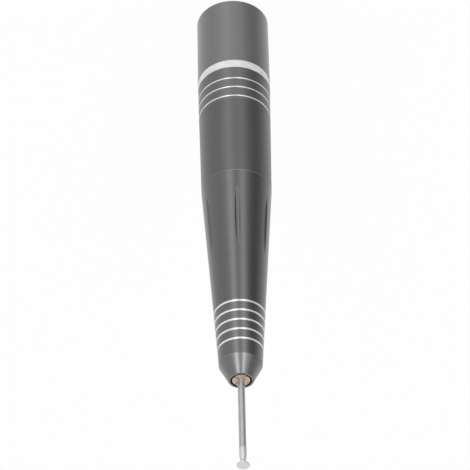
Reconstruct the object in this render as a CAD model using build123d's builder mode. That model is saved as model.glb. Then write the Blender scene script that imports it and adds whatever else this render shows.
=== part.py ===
"""Cordless electric engraving pen, standing on its flat tail rim with the tip up.

The origin is the centre of the tail rim and +Z runs along the pen to the tip. Everything inside
is stacked along Z from the tail rim, so each station follows from the sizes of the pieces below it.
"""
import math
import os

from build123d import *

# Fits between pieces
seat_gap = 0.02
turning_gap = 0.05
sliding_gap = 0.1
overrun = 1.0

# Push button at the tail end
rim_chamfer = 0.4
recess_depth = 1.4
recess_radius = 10.4
end_wall = 2.5
seal_thickness = 0.8
seal_rim_width = 2.7
button_radius = 6.0
button_sink = 0.7
button_dish_radius = 4.6
button_dish_depth = 0.3
button_edge = 0.4
button_flange = 1.0
button_flange_width = 2.4
button_travel = 1.5
button_stop_gap = 0.15

# Switch behind the button
plunger_radius = 1.6
plunger_reach = 0.4
spring_pocket_depth = 2.0
spring_pocket_inner_radius = 2.6
spring_pocket_outer_radius = 5.4
button_wire_radius = 0.25
button_spring_turns = 2.5
switch_web = 0.4
switch_core_side = 8.0
switch_core_height = 3.6
switch_board_thickness = 1.2
switch_ring_height = 3.0
switch_ring_width = 3.0
spanner_hole_radius = 0.8
switch_chamber_radius = 10.6
battery_spring_length = 9.9
battery_spring_base_radius = 5.6
battery_spring_top_radius = 3.4
battery_wire_radius = 0.4
battery_spring_turns = 4

# Rechargeable cell of the common 18 x 65 mm size
cell_radius = 9.2
cell_length = 65.0
cell_wrap_wall = 0.1
cell_can_wall = 0.25
cell_lip_width = 1.8
cell_bead_depth = 0.5
cell_bead_height = 1.4
cell_bead_below_top = 3.2
cell_roll_gap = 0.15
cell_roll_headroom = 4.0
cell_gasket_height = 1.4
cell_gasket_width = 1.6
terminal_radius = 3.9
terminal_flange = 0.5
terminal_rise = 1.0
cell_side_gap = 0.3

# Thread between the cap and its collar
chamber_past_ring = 3.0
thread_bore_length = 9.9
thread_end_gap = 1.0
thread_pitch = 1.5
thread_depth = 0.6
thread_root_wall = 1.5
thread_tip_width = 0.5
thread_foot_width = 1.1
thread_turns = 3.5
thread_embed = 0.2
o_ring_wire_radius = 0.5
o_ring_from_band = 1.2
o_ring_side_gap = 0.1
cap_wall = 1.45
band_step = 0.05
band_width = 3.5
band_chamfer = 0.15

# Barrel
liner_wall = 0.78
spigot_wall = 0.9
spigot_length = 7.0
barrel_front_wall = 2.0
seam_chamfer = 0.12
grip_behind_board = 10.0
rear_groove_count = 3
rear_groove_offset = 5.4
rear_groove_pitch = 4.24
rear_groove_width = 0.42
groove_floor_share = 0.5
groove_depth = 0.22

# Driver board
contact_length = 3.2
contact_radius = 2.0
contact_flange_radius = 3.5
contact_flange = 1.0
board_ring_height = 2.0
board_ring_width = 1.7
board_thickness = 1.2
chip_size = 5.0
chip_height = 1.0
chip_offset = 2.6
choke_radius = 1.3
choke_height = 1.2
choke_offset = 3.4
choke_spacing = 3.1

# Motor
motor_ring_offset = 1.5
motor_ring_height = 1.5
motor_ring_width = 1.6
motor_radius = 7.75
motor_length = 25.0
motor_can_wall = 0.6
motor_face_wall = 0.8
motor_boss_radius = 3.0
motor_boss_height = 1.3
carrier_wall = 0.7
carrier_front_wall = 1.7
motor_screw_radius = 0.8
motor_screw_circle = 5.2
motor_screw_head_radius = 1.7
motor_screw_head_height = 1.1
motor_screw_length = 3.6
hex_socket_radius = 0.56
shaft_radius = 1.0
bush_radius = 2.0
end_bell_length = 2.4
end_bell_floor = 0.4
brush_height = 2.2
brush_width = 1.8
brush_outer_radius = 4.6
commutator_radius = 2.4
commutator_length = 2.6
commutator_offset = 0.6
commutator_slot = 0.3
commutator_slot_depth = 0.7
pole_count = 3
core_radius = 5.6
core_end_gap = 5.0
core_offset = 1.6
core_hub_radius = 2.2
pole_neck_width = 1.6
pole_shoe = 0.9
pole_gap = 1.2
winding_thickness = 0.9
winding_overhang = 1.2
winding_share = 0.7
magnet_gap = 0.35
magnet_end_gap = 2.15
magnet_parting = 5.5
terminal_blade_length = 2.2
terminal_blade_width = 1.4
terminal_blade_thickness = 0.5
terminal_blade_circle = 5.0
lead_radius = 0.4
lead_bend = 0.9
lead_side_run = 1.0

# Coupling, spindle and bearings
coupling_gap = 0.6
coupling_length = 9.0
coupling_radius = 3.6
coupling_web = 0.3
coupling_slit_count = 3
coupling_slit_width = 0.35
coupling_slit_depth = 0.9
coupling_slit_pitch = 0.9
grub_screw_radius = 0.9
grub_screw_inset = 1.7
bearing_behind_gap = 0.7
bearing_bore_radius = 2.5
bearing_outer_radius = 5.5
bearing_width = 5.0
bearing_spacing = 11.0
race_wall = 0.95
race_chamfer = 0.2
ball_radius = 0.79
ball_count = 8
cage_wall = 0.5
cage_height = 2.4
circlip_thickness = 0.6
circlip_width = 1.1
circlip_depth = 0.4
circlip_opening = 3.0
circlip_side_gap = 0.05
washer_thickness = 0.3
washer_width = 0.8
bearing_shoulder = 0.9
spindle_tail_radius = 2.0
spindle_shoulder_radius = 3.3
spindle_bore_radius = 1.9
spindle_nut_height = 2.4
spindle_nut_radius = 4.2
spindle_past_nut = 0.4
nut_slot_width = 0.8
nut_slot_depth = 0.7

# Front grip
flute_count = 6
flute_length = 25.3
flute_width = 2.0
flute_depth = 0.5
flute_offset = 19.55
front_groove_count = 5
front_groove_offset = 5.5
front_groove_pitch = 3.76
front_groove_width = 0.62
nose_spigot_length = 3.2
nose_spigot_radius = 6.0
grip_front_wall = 1.27

# Nose, collet and bit
nose_length = 6.5
nose_land = 0.45
nose_hole_radius = 3.6
nose_rim_width = 0.63
nose_inner_radius = 4.7
nose_front_wall = 3.4
nose_seal_sink = 0.3
nose_seal_flange = 0.8
nose_seal_flange_width = 0.8
collet_radius = 3.0
collet_tail_length = 10.0
collet_slot_count = 4
collet_slot_width = 0.25
collet_slot_length = 10.4
collet_chamfer = 0.12
shank_radius = 1.175
bit_length = 44.0
bit_inserted = 10.2
bit_end_gap = 0.5
bit_collar_radius = 1.25
bit_collar_length = 3.5
bit_neck_radius = 0.95
bit_neck_length = 1.7
bit_flare_length = 1.7
bit_flare_radius = 1.25
bit_disc_radius = 2.15
bit_disc_thickness = 0.5
bit_disc_edge = 0.12

# Stations along the pen, from the tail rim
wall_z = recess_depth + end_wall
flange_z = wall_z + seal_thickness + turning_gap
spring_z = flange_z + button_flange
housing_z = spring_z + button_travel + button_stop_gap
core_z = housing_z + spring_pocket_depth + switch_web
switch_board_z = core_z + switch_core_height
switch_ring_z = switch_board_z + switch_board_thickness
chamber_z = switch_ring_z + switch_ring_height + chamber_past_ring
band_z = chamber_z + thread_bore_length
barrel_z = band_z + band_width
cell_z = switch_ring_z + battery_spring_length
cell_top_z = cell_z + cell_length
board_z = cell_top_z + turning_gap + contact_length
shelf_z = board_z + board_thickness
grip_z = board_z - grip_behind_board
motor_ring_z = shelf_z + motor_ring_offset
motor_z = motor_ring_z + motor_ring_height
motor_face_z = motor_z + motor_length
step_z = motor_face_z + carrier_front_wall
coupling_z = step_z + coupling_gap
rear_bearing_z = coupling_z + coupling_length + bearing_behind_gap
shoulder_z = rear_bearing_z + bearing_width
front_bearing_z = shoulder_z + bearing_spacing
spigot_z = front_bearing_z + bearing_width
nose_z = spigot_z + nose_spigot_length
face_z = nose_z + nose_length

# Radii that follow from the sizes above
cell_bore_radius = cell_radius + cell_side_gap
liner_radius = cell_bore_radius + liner_wall
barrel_bore_radius = liner_radius + seat_gap
spigot_radius = barrel_bore_radius + spigot_wall
thread_root_radius = cell_bore_radius + thread_root_wall
thread_crest_radius = thread_root_radius + thread_depth
thread_bore_radius = thread_crest_radius + turning_gap
cap_radius = thread_bore_radius + cap_wall
band_radius = cap_radius - band_step
barrel_front_radius = barrel_bore_radius + barrel_front_wall
carrier_bore_radius = motor_radius + seat_gap
carrier_radius = carrier_bore_radius + carrier_wall
motor_bore_radius = carrier_radius + seat_gap
bearing_seat_radius = bearing_outer_radius + seat_gap
ball_circle = (bearing_bore_radius + bearing_outer_radius) / 2
grip_front_radius = nose_spigot_radius + seat_gap + grip_front_wall
nose_face_radius = nose_hole_radius + nose_rim_width
grip_slope = (barrel_front_radius - grip_front_radius) / (nose_z - grip_z)


def half_section(*points):
    """A closed outline of (radius, height) points in the plane that is turned about Z."""
    with BuildSketch(Plane.XZ) as section:
        with BuildLine():
            Polyline(*points, close=True)
        make_face()
    return section.sketch


def ring_section(inner, outer, low, high):
    """The rectangle that turns into a plain ring."""
    return half_section((inner, low), (outer, low), (outer, high), (inner, high))


def groove_section(radius, height, width):
    """A bright groove: a shallow trapezium cut into a turned surface."""
    floor_width = width * groove_floor_share
    return half_section(
        (radius + groove_depth, height - width),
        (radius, height - width / 2),
        (radius - groove_depth, height - floor_width / 2),
        (radius - groove_depth, height + floor_width / 2),
        (radius, height + width / 2),
        (radius + groove_depth, height + width),
    )


def winding_path(turns, low_radius, high_radius, low, high):
    """A line that climbs round a cone: two tangent arcs for each quarter turn."""
    steps = round(turns * 4)
    lead = (high - low) / (turns * 2 * math.pi)
    drift = (high_radius - low_radius) / (turns * 2 * math.pi)

    def place(step):
        angle = step * math.pi / 2
        radius = low_radius + drift * angle
        point = Vector(radius * math.cos(angle), radius * math.sin(angle), low + lead * angle)
        ahead = Vector(
            drift * math.cos(angle) - radius * math.sin(angle),
            drift * math.sin(angle) + radius * math.cos(angle),
            lead,
        )
        return point, ahead.normalized()

    with BuildLine() as path:
        for step in range(steps):
            start, leaving = place(step)
            end, arriving = place(step + 1)
            chord = end - start
            bend = 2 * (1 - leaving.dot(arriving))
            along = chord.dot(leaving + arriving)
            reach = (math.sqrt(along**2 + bend * chord.dot(chord)) - along) / bend
            middle = (start + leaving * reach + end - arriving * reach) / 2
            first = TangentArc(start, middle, tangent=leaving)
            TangentArc(middle, end, tangent=first % 1)
    return path.line


def coil(wire_radius, turns, low_radius, high_radius, low, high):
    """A spring of round wire between two flat seats at the heights low and high."""
    seat_share = 1.1
    inset = wire_radius * seat_share
    path = winding_path(turns, low_radius, high_radius, low + inset, high - inset)
    with BuildPart() as wound:
        with BuildSketch(Plane(origin=path @ 0, z_dir=path % 0)):
            Circle(wire_radius)
        sweep(path=path)
    return wound


pieces = {}

# Tail cap with its push button and switch
button_hole_radius = button_radius + sliding_gap
with BuildPart() as tail_cap:
    revolve(
        half_section(
            (recess_radius, 0),
            (cap_radius - rim_chamfer, 0),
            (cap_radius, rim_chamfer),
            (cap_radius, band_z - band_chamfer),
            (cap_radius - band_chamfer, band_z),
            (thread_bore_radius, band_z),
            (thread_bore_radius, chamber_z),
            (switch_chamber_radius, chamber_z),
            (switch_chamber_radius, wall_z),
            (button_hole_radius, wall_z),
            (button_hole_radius, recess_depth),
            (recess_radius, recess_depth),
        ),
        axis=Axis.Z,
    )
pieces["tail_cap"] = tail_cap

with BuildPart() as button_seal:
    seal_outer_radius = button_hole_radius + seal_rim_width
    revolve(ring_section(button_hole_radius, seal_outer_radius, wall_z, wall_z + seal_thickness), axis=Axis.Z)
pieces["button_seal"] = button_seal

with BuildPart() as switch_button:
    flange_radius = button_radius + button_flange_width
    revolve(
        half_section(
            (0, button_sink + button_dish_depth),
            (button_dish_radius - button_dish_depth, button_sink + button_dish_depth),
            (button_dish_radius, button_sink),
            (button_radius - button_edge, button_sink),
            (button_radius, button_sink + button_edge),
            (button_radius, flange_z),
            (flange_radius, flange_z),
            (flange_radius, spring_z),
            (0, spring_z),
        ),
        axis=Axis.Z,
    )
pieces["switch_button"] = switch_button

with BuildPart() as switch_plunger:
    plunger_end_z = core_z + plunger_reach
    revolve(ring_section(0, plunger_radius, spring_z, plunger_end_z), axis=Axis.Z)
pieces["switch_plunger"] = switch_plunger

button_coil_radius = (spring_pocket_inner_radius + spring_pocket_outer_radius) / 2
button_spring = coil(
    button_wire_radius,
    button_spring_turns,
    button_coil_radius,
    button_coil_radius,
    spring_z,
    housing_z + spring_pocket_depth,
)
pieces["button_spring"] = button_spring

with BuildPart() as switch_housing:
    housing_radius = switch_chamber_radius - seat_gap
    revolve(
        half_section(
            (plunger_radius + sliding_gap, housing_z),
            (spring_pocket_inner_radius, housing_z),
            (spring_pocket_inner_radius, housing_z + spring_pocket_depth),
            (spring_pocket_outer_radius, housing_z + spring_pocket_depth),
            (spring_pocket_outer_radius, housing_z),
            (housing_radius, housing_z),
            (housing_radius, switch_board_z),
            (plunger_radius + sliding_gap, switch_board_z),
        ),
        axis=Axis.Z,
    )
    with BuildSketch(Plane.XY.offset(core_z)):
        Rectangle(switch_core_side + 2 * seat_gap, switch_core_side + 2 * seat_gap)
    extrude(amount=switch_core_height, mode=Mode.SUBTRACT)
pieces["switch_housing"] = switch_housing

with BuildPart() as switch_core:
    with BuildSketch(Plane.XY.offset(core_z)):
        Rectangle(switch_core_side, switch_core_side)
    extrude(amount=switch_core_height)
    with BuildSketch(Plane.XY.offset(core_z)):
        Circle(plunger_radius + sliding_gap)
    extrude(amount=plunger_reach + button_travel + button_stop_gap, mode=Mode.SUBTRACT)
pieces["switch_core"] = switch_core

with BuildPart() as switch_board:
    revolve(ring_section(0, housing_radius, switch_board_z, switch_ring_z), axis=Axis.Z)
pieces["switch_board"] = switch_board

with BuildPart() as switch_ring:
    switch_ring_end_z = switch_ring_z + switch_ring_height
    ring_inner_radius = housing_radius - switch_ring_width
    revolve(ring_section(ring_inner_radius, housing_radius, switch_ring_z, switch_ring_end_z), axis=Axis.Z)
    with BuildSketch(Plane.XY.offset(switch_ring_end_z)):
        with PolarLocations(housing_radius - switch_ring_width / 2, 2):
            Circle(spanner_hole_radius)
    extrude(amount=-switch_ring_height / 2, mode=Mode.SUBTRACT)
pieces["switch_ring"] = switch_ring

battery_spring = coil(
    battery_wire_radius,
    battery_spring_turns,
    battery_spring_base_radius,
    battery_spring_top_radius,
    switch_ring_z,
    cell_z,
)
pieces["battery_spring"] = battery_spring

# Cell
can_radius = cell_radius - cell_wrap_wall - seat_gap
can_bore_radius = can_radius - cell_can_wall
can_z = cell_z + cell_wrap_wall + seat_gap
can_top_z = cell_top_z - terminal_rise - cell_wrap_wall
bead_z = can_top_z - cell_bead_below_top
with BuildPart() as cell_can:
    revolve(
        half_section(
            (0, can_z),
            (can_radius, can_z),
            (can_radius, bead_z - cell_bead_height / 2),
            (can_radius - cell_bead_depth, bead_z),
            (can_radius, bead_z + cell_bead_height / 2),
            (can_radius, can_top_z),
            (can_bore_radius, can_top_z),
            (can_bore_radius, bead_z + cell_bead_height / 2),
            (can_bore_radius - cell_bead_depth, bead_z),
            (can_bore_radius, bead_z - cell_bead_height / 2),
            (can_bore_radius, can_z + cell_can_wall),
            (0, can_z + cell_can_wall),
        ),
        axis=Axis.Z,
    )
pieces["cell_can"] = cell_can

with BuildPart() as cell_roll:
    roll_z = can_z + cell_can_wall + seat_gap
    roll_radius = can_bore_radius - cell_roll_gap
    revolve(ring_section(0, roll_radius, roll_z, can_top_z - cell_roll_headroom), axis=Axis.Z)
pieces["cell_roll"] = cell_roll

with BuildPart() as cell_wrap:
    wrap_bore_radius = cell_radius - cell_wrap_wall
    lip_radius = cell_radius - cell_lip_width
    wrap_top_z = can_top_z + cell_wrap_wall + seat_gap
    revolve(
        half_section(
            (lip_radius, cell_z),
            (cell_radius, cell_z),
            (cell_radius, wrap_top_z),
            (lip_radius, wrap_top_z),
            (lip_radius, wrap_top_z - cell_wrap_wall),
            (wrap_bore_radius, wrap_top_z - cell_wrap_wall),
            (wrap_bore_radius, cell_z + cell_wrap_wall),
            (lip_radius, cell_z + cell_wrap_wall),
        ),
        axis=Axis.Z,
    )
pieces["cell_wrap"] = cell_wrap

gasket_radius = can_bore_radius - seat_gap
gasket_bore_radius = gasket_radius - cell_gasket_width
terminal_flange_z = can_top_z - cell_gasket_height / 2
with BuildPart() as cell_gasket:
    revolve(
        half_section(
            (gasket_bore_radius, can_top_z - cell_gasket_height),
            (gasket_radius, can_top_z - cell_gasket_height),
            (gasket_radius, can_top_z),
            (gasket_bore_radius + cell_gasket_width / 2, can_top_z),
            (gasket_bore_radius + cell_gasket_width / 2, terminal_flange_z),
            (gasket_bore_radius, terminal_flange_z),
        ),
        axis=Axis.Z,
    )
pieces["cell_gasket"] = cell_gasket

with BuildPart() as cell_terminal:
    terminal_flange_radius = gasket_bore_radius + cell_gasket_width / 2 - seat_gap
    revolve(
        half_section(
            (0, terminal_flange_z),
            (terminal_flange_radius, terminal_flange_z),
            (terminal_flange_radius, terminal_flange_z + terminal_flange),
            (terminal_radius, terminal_flange_z + terminal_flange),
            (terminal_radius, cell_top_z),
            (0, cell_top_z),
        ),
        axis=Axis.Z,
    )
pieces["cell_terminal"] = cell_terminal

# Collar: its flange is the bright band, its thread carries the cap, its spigot sits in the barrel
collar_end_z = chamber_z + thread_end_gap
collar_front_z = barrel_z + spigot_length
o_ring_z = band_z - o_ring_from_band
o_ring_half_width = o_ring_wire_radius + o_ring_side_gap
o_ring_circle = thread_crest_radius - o_ring_wire_radius
groove_root_radius = o_ring_circle - o_ring_wire_radius - seat_gap
with BuildPart() as thread_collar:
    revolve(
        half_section(
            (cell_bore_radius, collar_end_z),
            (thread_root_radius, collar_end_z),
            (thread_root_radius, o_ring_z - o_ring_half_width - thread_foot_width / 2),
            (thread_crest_radius, o_ring_z - o_ring_half_width - thread_foot_width / 2),
            (thread_crest_radius, o_ring_z - o_ring_half_width),
            (groove_root_radius, o_ring_z - o_ring_half_width),
            (groove_root_radius, o_ring_z + o_ring_half_width),
            (thread_crest_radius, o_ring_z + o_ring_half_width),
            (thread_crest_radius, band_z),
            (band_radius - band_chamfer, band_z),
            (band_radius, band_z + band_chamfer),
            (band_radius, barrel_z - band_chamfer),
            (band_radius - band_chamfer, barrel_z),
            (spigot_radius, barrel_z),
            (spigot_radius, collar_front_z),
            (cell_bore_radius, collar_front_z),
        ),
        axis=Axis.Z,
    )
    ridge_z = collar_end_z + thread_foot_width
    flank_slope = (thread_foot_width - thread_tip_width) / (2 * thread_depth)
    sunk_half_width = thread_foot_width / 2 + thread_embed * flank_slope
    ridge_path = winding_path(
        thread_turns, thread_root_radius, thread_root_radius, ridge_z, ridge_z + thread_pitch * thread_turns
    )
    with BuildSketch(Plane(origin=ridge_path @ 0, x_dir=(1, 0, 0), z_dir=ridge_path % 0)):
        with BuildLine():
            Polyline(
                (-thread_embed, -sunk_half_width),
                (thread_depth, -thread_tip_width / 2),
                (thread_depth, thread_tip_width / 2),
                (-thread_embed, sunk_half_width),
                close=True,
            )
        make_face()
    sweep(path=ridge_path)
pieces["thread_collar"] = thread_collar

with BuildPart() as o_ring:
    with Locations((0, 0, o_ring_z)):
        Torus(o_ring_circle, o_ring_wire_radius)
pieces["o_ring"] = o_ring

# Barrel with its three bright grooves
barrel_slope = (band_radius - barrel_front_radius) / (grip_z - barrel_z)
spigot_bore_radius = spigot_radius + seat_gap
with BuildPart() as barrel:
    revolve(
        half_section(
            (spigot_bore_radius, barrel_z),
            (band_radius - band_chamfer, barrel_z),
            (band_radius, barrel_z + band_chamfer),
            (barrel_front_radius, grip_z - seam_chamfer),
            (barrel_front_radius - seam_chamfer, grip_z),
            (spigot_bore_radius, grip_z),
            (spigot_bore_radius, grip_z - spigot_length),
            (barrel_bore_radius, grip_z - spigot_length),
            (barrel_bore_radius, collar_front_z),
            (spigot_bore_radius, collar_front_z),
        ),
        axis=Axis.Z,
    )
    for groove in range(rear_groove_count):
        groove_z = barrel_z + rear_groove_offset + groove * rear_groove_pitch
        groove_radius = band_radius - (groove_z - barrel_z) * barrel_slope
        groove_cut = groove_section(groove_radius, groove_z, rear_groove_width)
        revolve(groove_cut, axis=Axis.Z, mode=Mode.SUBTRACT)
pieces["barrel"] = barrel

with BuildPart() as cell_liner:
    revolve(
        ring_section(cell_bore_radius, liner_radius, collar_front_z, board_z - board_ring_height),
        axis=Axis.Z,
    )
pieces["cell_liner"] = cell_liner

# Front grip: a cone with six flutes and five bright grooves, bored for everything that it carries
circlip_z = rear_bearing_z - circlip_thickness - circlip_side_gap
flute_z = grip_z + flute_offset
flute_cutter_radius = (flute_width**2 / 4 + flute_depth**2) / (2 * flute_depth)
flute_sweep_radius = (flute_length / 2) ** 2 / (2 * flute_depth)
with BuildPart() as front_grip:
    revolve(
        half_section(
            (barrel_bore_radius, grip_z - spigot_length),
            (spigot_radius, grip_z - spigot_length),
            (spigot_radius, grip_z),
            (barrel_front_radius - seam_chamfer, grip_z),
            (barrel_front_radius, grip_z + seam_chamfer),
            (grip_front_radius, nose_z),
            (nose_spigot_radius + seat_gap, nose_z),
            (nose_spigot_radius + seat_gap, spigot_z),
            (bearing_seat_radius, spigot_z),
            (bearing_seat_radius, front_bearing_z),
            (bearing_outer_radius - bearing_shoulder, front_bearing_z),
            (bearing_outer_radius - bearing_shoulder, shoulder_z + washer_thickness),
            (bearing_seat_radius, shoulder_z + washer_thickness),
            (bearing_seat_radius, circlip_z + circlip_thickness + circlip_side_gap),
            (bearing_seat_radius + circlip_depth, circlip_z + circlip_thickness + circlip_side_gap),
            (bearing_seat_radius + circlip_depth, circlip_z - circlip_side_gap),
            (bearing_seat_radius, circlip_z - circlip_side_gap),
            (bearing_seat_radius, step_z),
            (motor_bore_radius, step_z),
            (motor_bore_radius, shelf_z),
            (barrel_bore_radius, shelf_z),
        ),
        axis=Axis.Z,
    )
    for groove in range(front_groove_count):
        groove_z = nose_z - front_groove_offset - groove * front_groove_pitch
        groove_radius = grip_front_radius + (nose_z - groove_z) * grip_slope
        groove_cut = groove_section(groove_radius, groove_z, front_groove_width)
        revolve(groove_cut, axis=Axis.Z, mode=Mode.SUBTRACT)
    for flute in range(flute_count):
        turn = math.radians(flute * 360 / flute_count - 90)
        side = Vector(-math.sin(turn), math.cos(turn), 0)
        outward = Vector(math.cos(turn), math.sin(turn), grip_slope).normalized()
        surface_radius = barrel_front_radius - flute_offset * grip_slope
        surface = Vector(surface_radius * math.cos(turn), surface_radius * math.sin(turn), flute_z)
        pivot = surface + outward * (flute_cutter_radius - flute_depth + flute_sweep_radius)
        with Locations(Plane(origin=pivot, x_dir=outward, z_dir=side)):
            Torus(flute_sweep_radius, flute_cutter_radius, mode=Mode.SUBTRACT)
pieces["front_grip"] = front_grip

# Driver board between the cell and the motor
board_radius = barrel_bore_radius - seat_gap
with BuildPart() as board_ring:
    revolve(
        ring_section(board_radius - board_ring_width, board_radius, board_z - board_ring_height, board_z),
        axis=Axis.Z,
    )
pieces["board_ring"] = board_ring

with BuildPart() as driver_board:
    revolve(ring_section(0, board_radius, board_z, shelf_z), axis=Axis.Z)
pieces["driver_board"] = driver_board

with BuildPart() as driver_parts:
    with BuildSketch(Plane.XY.offset(shelf_z)):
        with Locations((0, -chip_offset)):
            Rectangle(chip_size, chip_size / 2)
    extrude(amount=chip_height)
    with BuildSketch(Plane.XY.offset(shelf_z)):
        with Locations((-choke_spacing / 2, choke_offset), (choke_spacing / 2, choke_offset)):
            Circle(choke_radius)
    extrude(amount=choke_height)
pieces["driver_parts"] = driver_parts

with BuildPart() as positive_contact:
    revolve(
        half_section(
            (0, cell_top_z + turning_gap),
            (contact_radius, cell_top_z + turning_gap),
            (contact_radius, board_z - contact_flange),
            (contact_flange_radius, board_z - contact_flange),
            (contact_flange_radius, board_z),
            (0, board_z),
        ),
        axis=Axis.Z,
    )
pieces["positive_contact"] = positive_contact

# Motor in its carrier
with BuildPart() as motor_ring:
    revolve(
        ring_section(carrier_radius - motor_ring_width, carrier_radius, motor_ring_z, motor_z),
        axis=Axis.Z,
    )
pieces["motor_ring"] = motor_ring

with BuildPart() as motor_carrier:
    revolve(
        half_section(
            (carrier_bore_radius, motor_z),
            (carrier_radius, motor_z),
            (carrier_radius, step_z),
            (motor_boss_radius + sliding_gap, step_z),
            (motor_boss_radius + sliding_gap, motor_face_z + seat_gap),
            (carrier_bore_radius, motor_face_z + seat_gap),
        ),
        axis=Axis.Z,
    )
    with BuildSketch(Plane.XY.offset(step_z)):
        with PolarLocations(motor_screw_circle, 2):
            Circle(motor_screw_radius + sliding_gap)
    extrude(amount=-carrier_front_wall, mode=Mode.SUBTRACT)
    with BuildSketch(Plane.XY.offset(step_z)):
        with PolarLocations(motor_screw_circle, 2):
            Circle(motor_screw_head_radius + sliding_gap)
    extrude(amount=-motor_screw_head_height, mode=Mode.SUBTRACT)
pieces["motor_carrier"] = motor_carrier

with BuildPart() as motor_screws:
    with BuildSketch(Plane.XY.offset(step_z)):
        with PolarLocations(motor_screw_circle, 2):
            Circle(motor_screw_head_radius)
    extrude(amount=-motor_screw_head_height)
    with BuildSketch(Plane.XY.offset(step_z - motor_screw_head_height)):
        with PolarLocations(motor_screw_circle, 2):
            Circle(motor_screw_radius)
    extrude(amount=motor_screw_head_height - motor_screw_length)
    with BuildSketch(Plane.XY.offset(step_z)):
        with PolarLocations(motor_screw_circle, 2):
            RegularPolygon(hex_socket_radius, 6)
    extrude(amount=-motor_screw_head_height / 2, mode=Mode.SUBTRACT)
pieces["motor_screws"] = motor_screws

can_inner_radius = motor_radius - motor_can_wall
boss_z = motor_face_z + motor_boss_height
with BuildPart() as motor_can:
    revolve(
        half_section(
            (can_inner_radius, motor_z),
            (motor_radius, motor_z),
            (motor_radius, motor_face_z),
            (motor_boss_radius, motor_face_z),
            (motor_boss_radius, boss_z),
            (bush_radius + seat_gap, boss_z),
            (bush_radius + seat_gap, motor_face_z - motor_face_wall),
            (can_inner_radius, motor_face_z - motor_face_wall),
        ),
        axis=Axis.Z,
    )
    with BuildSketch(Plane.XY.offset(motor_face_z)):
        with PolarLocations(motor_screw_circle, 2):
            Circle(motor_screw_radius + seat_gap)
    extrude(amount=-motor_face_wall, mode=Mode.SUBTRACT)
pieces["motor_can"] = motor_can

bell_end_z = motor_z + end_bell_length
with BuildPart() as motor_end_bell:
    revolve(
        half_section(
            (0, motor_z),
            (can_inner_radius - seat_gap, motor_z),
            (can_inner_radius - seat_gap, bell_end_z),
            (bush_radius + seat_gap, bell_end_z),
            (bush_radius + seat_gap, motor_z + end_bell_floor),
            (0, motor_z + end_bell_floor),
        ),
        axis=Axis.Z,
    )
pieces["motor_end_bell"] = motor_end_bell

with BuildPart() as motor_rear_bush:
    revolve(
        ring_section(shaft_radius + seat_gap, bush_radius, motor_z + end_bell_floor, bell_end_z),
        axis=Axis.Z,
    )
pieces["motor_rear_bush"] = motor_rear_bush

with BuildPart() as motor_front_bush:
    revolve(
        ring_section(shaft_radius + seat_gap, bush_radius, motor_face_z - motor_face_wall, boss_z),
        axis=Axis.Z,
    )
pieces["motor_front_bush"] = motor_front_bush

magnet_radius = can_inner_radius - seat_gap
magnet_bore_radius = core_radius + magnet_gap
magnet_z = bell_end_z + magnet_end_gap
magnet_length = motor_face_z - motor_face_wall - magnet_end_gap - magnet_z
with BuildPart() as motor_magnets:
    with BuildSketch(Plane.XY.offset(magnet_z)):
        Circle(magnet_radius)
        Circle(magnet_bore_radius, mode=Mode.SUBTRACT)
        Rectangle(magnet_parting, 2 * motor_radius, mode=Mode.SUBTRACT)
    extrude(amount=magnet_length)
pieces["motor_magnets"] = motor_magnets

commutator_z = bell_end_z + commutator_offset
with BuildPart() as motor_brushes:
    with BuildSketch(Plane.XY.offset(bell_end_z)):
        Rectangle(2 * brush_outer_radius, brush_width)
        Circle(commutator_radius + turning_gap, mode=Mode.SUBTRACT)
    extrude(amount=brush_height)
pieces["motor_brushes"] = motor_brushes

with BuildPart() as motor_terminals:
    with BuildSketch(Plane.XY.offset(motor_z)):
        with PolarLocations(terminal_blade_circle, 2):
            Rectangle(terminal_blade_thickness, terminal_blade_width)
    extrude(amount=-terminal_blade_length)
pieces["motor_terminals"] = motor_terminals

# Each lead rises from the board and bends over to its terminal
lead_end = terminal_blade_width / 2
lead_start = lead_end + lead_side_run + lead_bend
lead_z = motor_z - terminal_blade_length + lead_radius + seat_gap
with BuildPart() as motor_leads:
    for side in (1, -1):
        foot = Vector(side * terminal_blade_circle, side * lead_start, shelf_z)
        elbow = Vector(foot.X, foot.Y, lead_z)
        head = Vector(foot.X, side * lead_end, lead_z)
        with BuildLine() as lead_path:
            FilletPolyline(foot, elbow, head, radius=lead_bend)
        with BuildSketch(Plane(origin=foot, z_dir=(0, 0, 1))):
            Circle(lead_radius)
        sweep(path=lead_path.line)
pieces["motor_leads"] = motor_leads

# Rotor
with BuildPart() as motor_shaft:
    shaft_end_z = coupling_z + (coupling_length - coupling_web) / 2
    revolve(
        ring_section(0, shaft_radius, motor_z + end_bell_floor + seat_gap, shaft_end_z),
        axis=Axis.Z,
    )
pieces["motor_shaft"] = motor_shaft

with BuildPart() as commutator:
    commutator_end_z = commutator_z + commutator_length
    revolve(
        ring_section(shaft_radius + seat_gap, commutator_radius, commutator_z, commutator_end_z),
        axis=Axis.Z,
    )
    with BuildSketch(Plane.XY.offset(commutator_z)):
        with PolarLocations(commutator_radius, pole_count, start_angle=180 / pole_count):
            Rectangle(2 * commutator_slot_depth, commutator_slot)
    extrude(amount=commutator_length, mode=Mode.SUBTRACT)
pieces["commutator"] = commutator

armature_z = commutator_z + commutator_length + core_offset
core_length = motor_face_z - motor_face_wall - core_end_gap - armature_z
neck_length = core_radius - pole_shoe
with BuildPart() as armature_core:
    with BuildSketch(Plane.XY.offset(armature_z)):
        Circle(core_radius)
        Circle(core_radius - pole_shoe, mode=Mode.SUBTRACT)
        with PolarLocations(core_radius, pole_count, start_angle=180 / pole_count):
            Rectangle(4 * pole_shoe, pole_gap, mode=Mode.SUBTRACT)
        Circle(core_hub_radius)
        with PolarLocations(neck_length / 2, pole_count):
            Rectangle(neck_length + pole_shoe / 2, pole_neck_width)
        Circle(shaft_radius + seat_gap, mode=Mode.SUBTRACT)
    extrude(amount=core_length)
pieces["armature_core"] = armature_core

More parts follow.
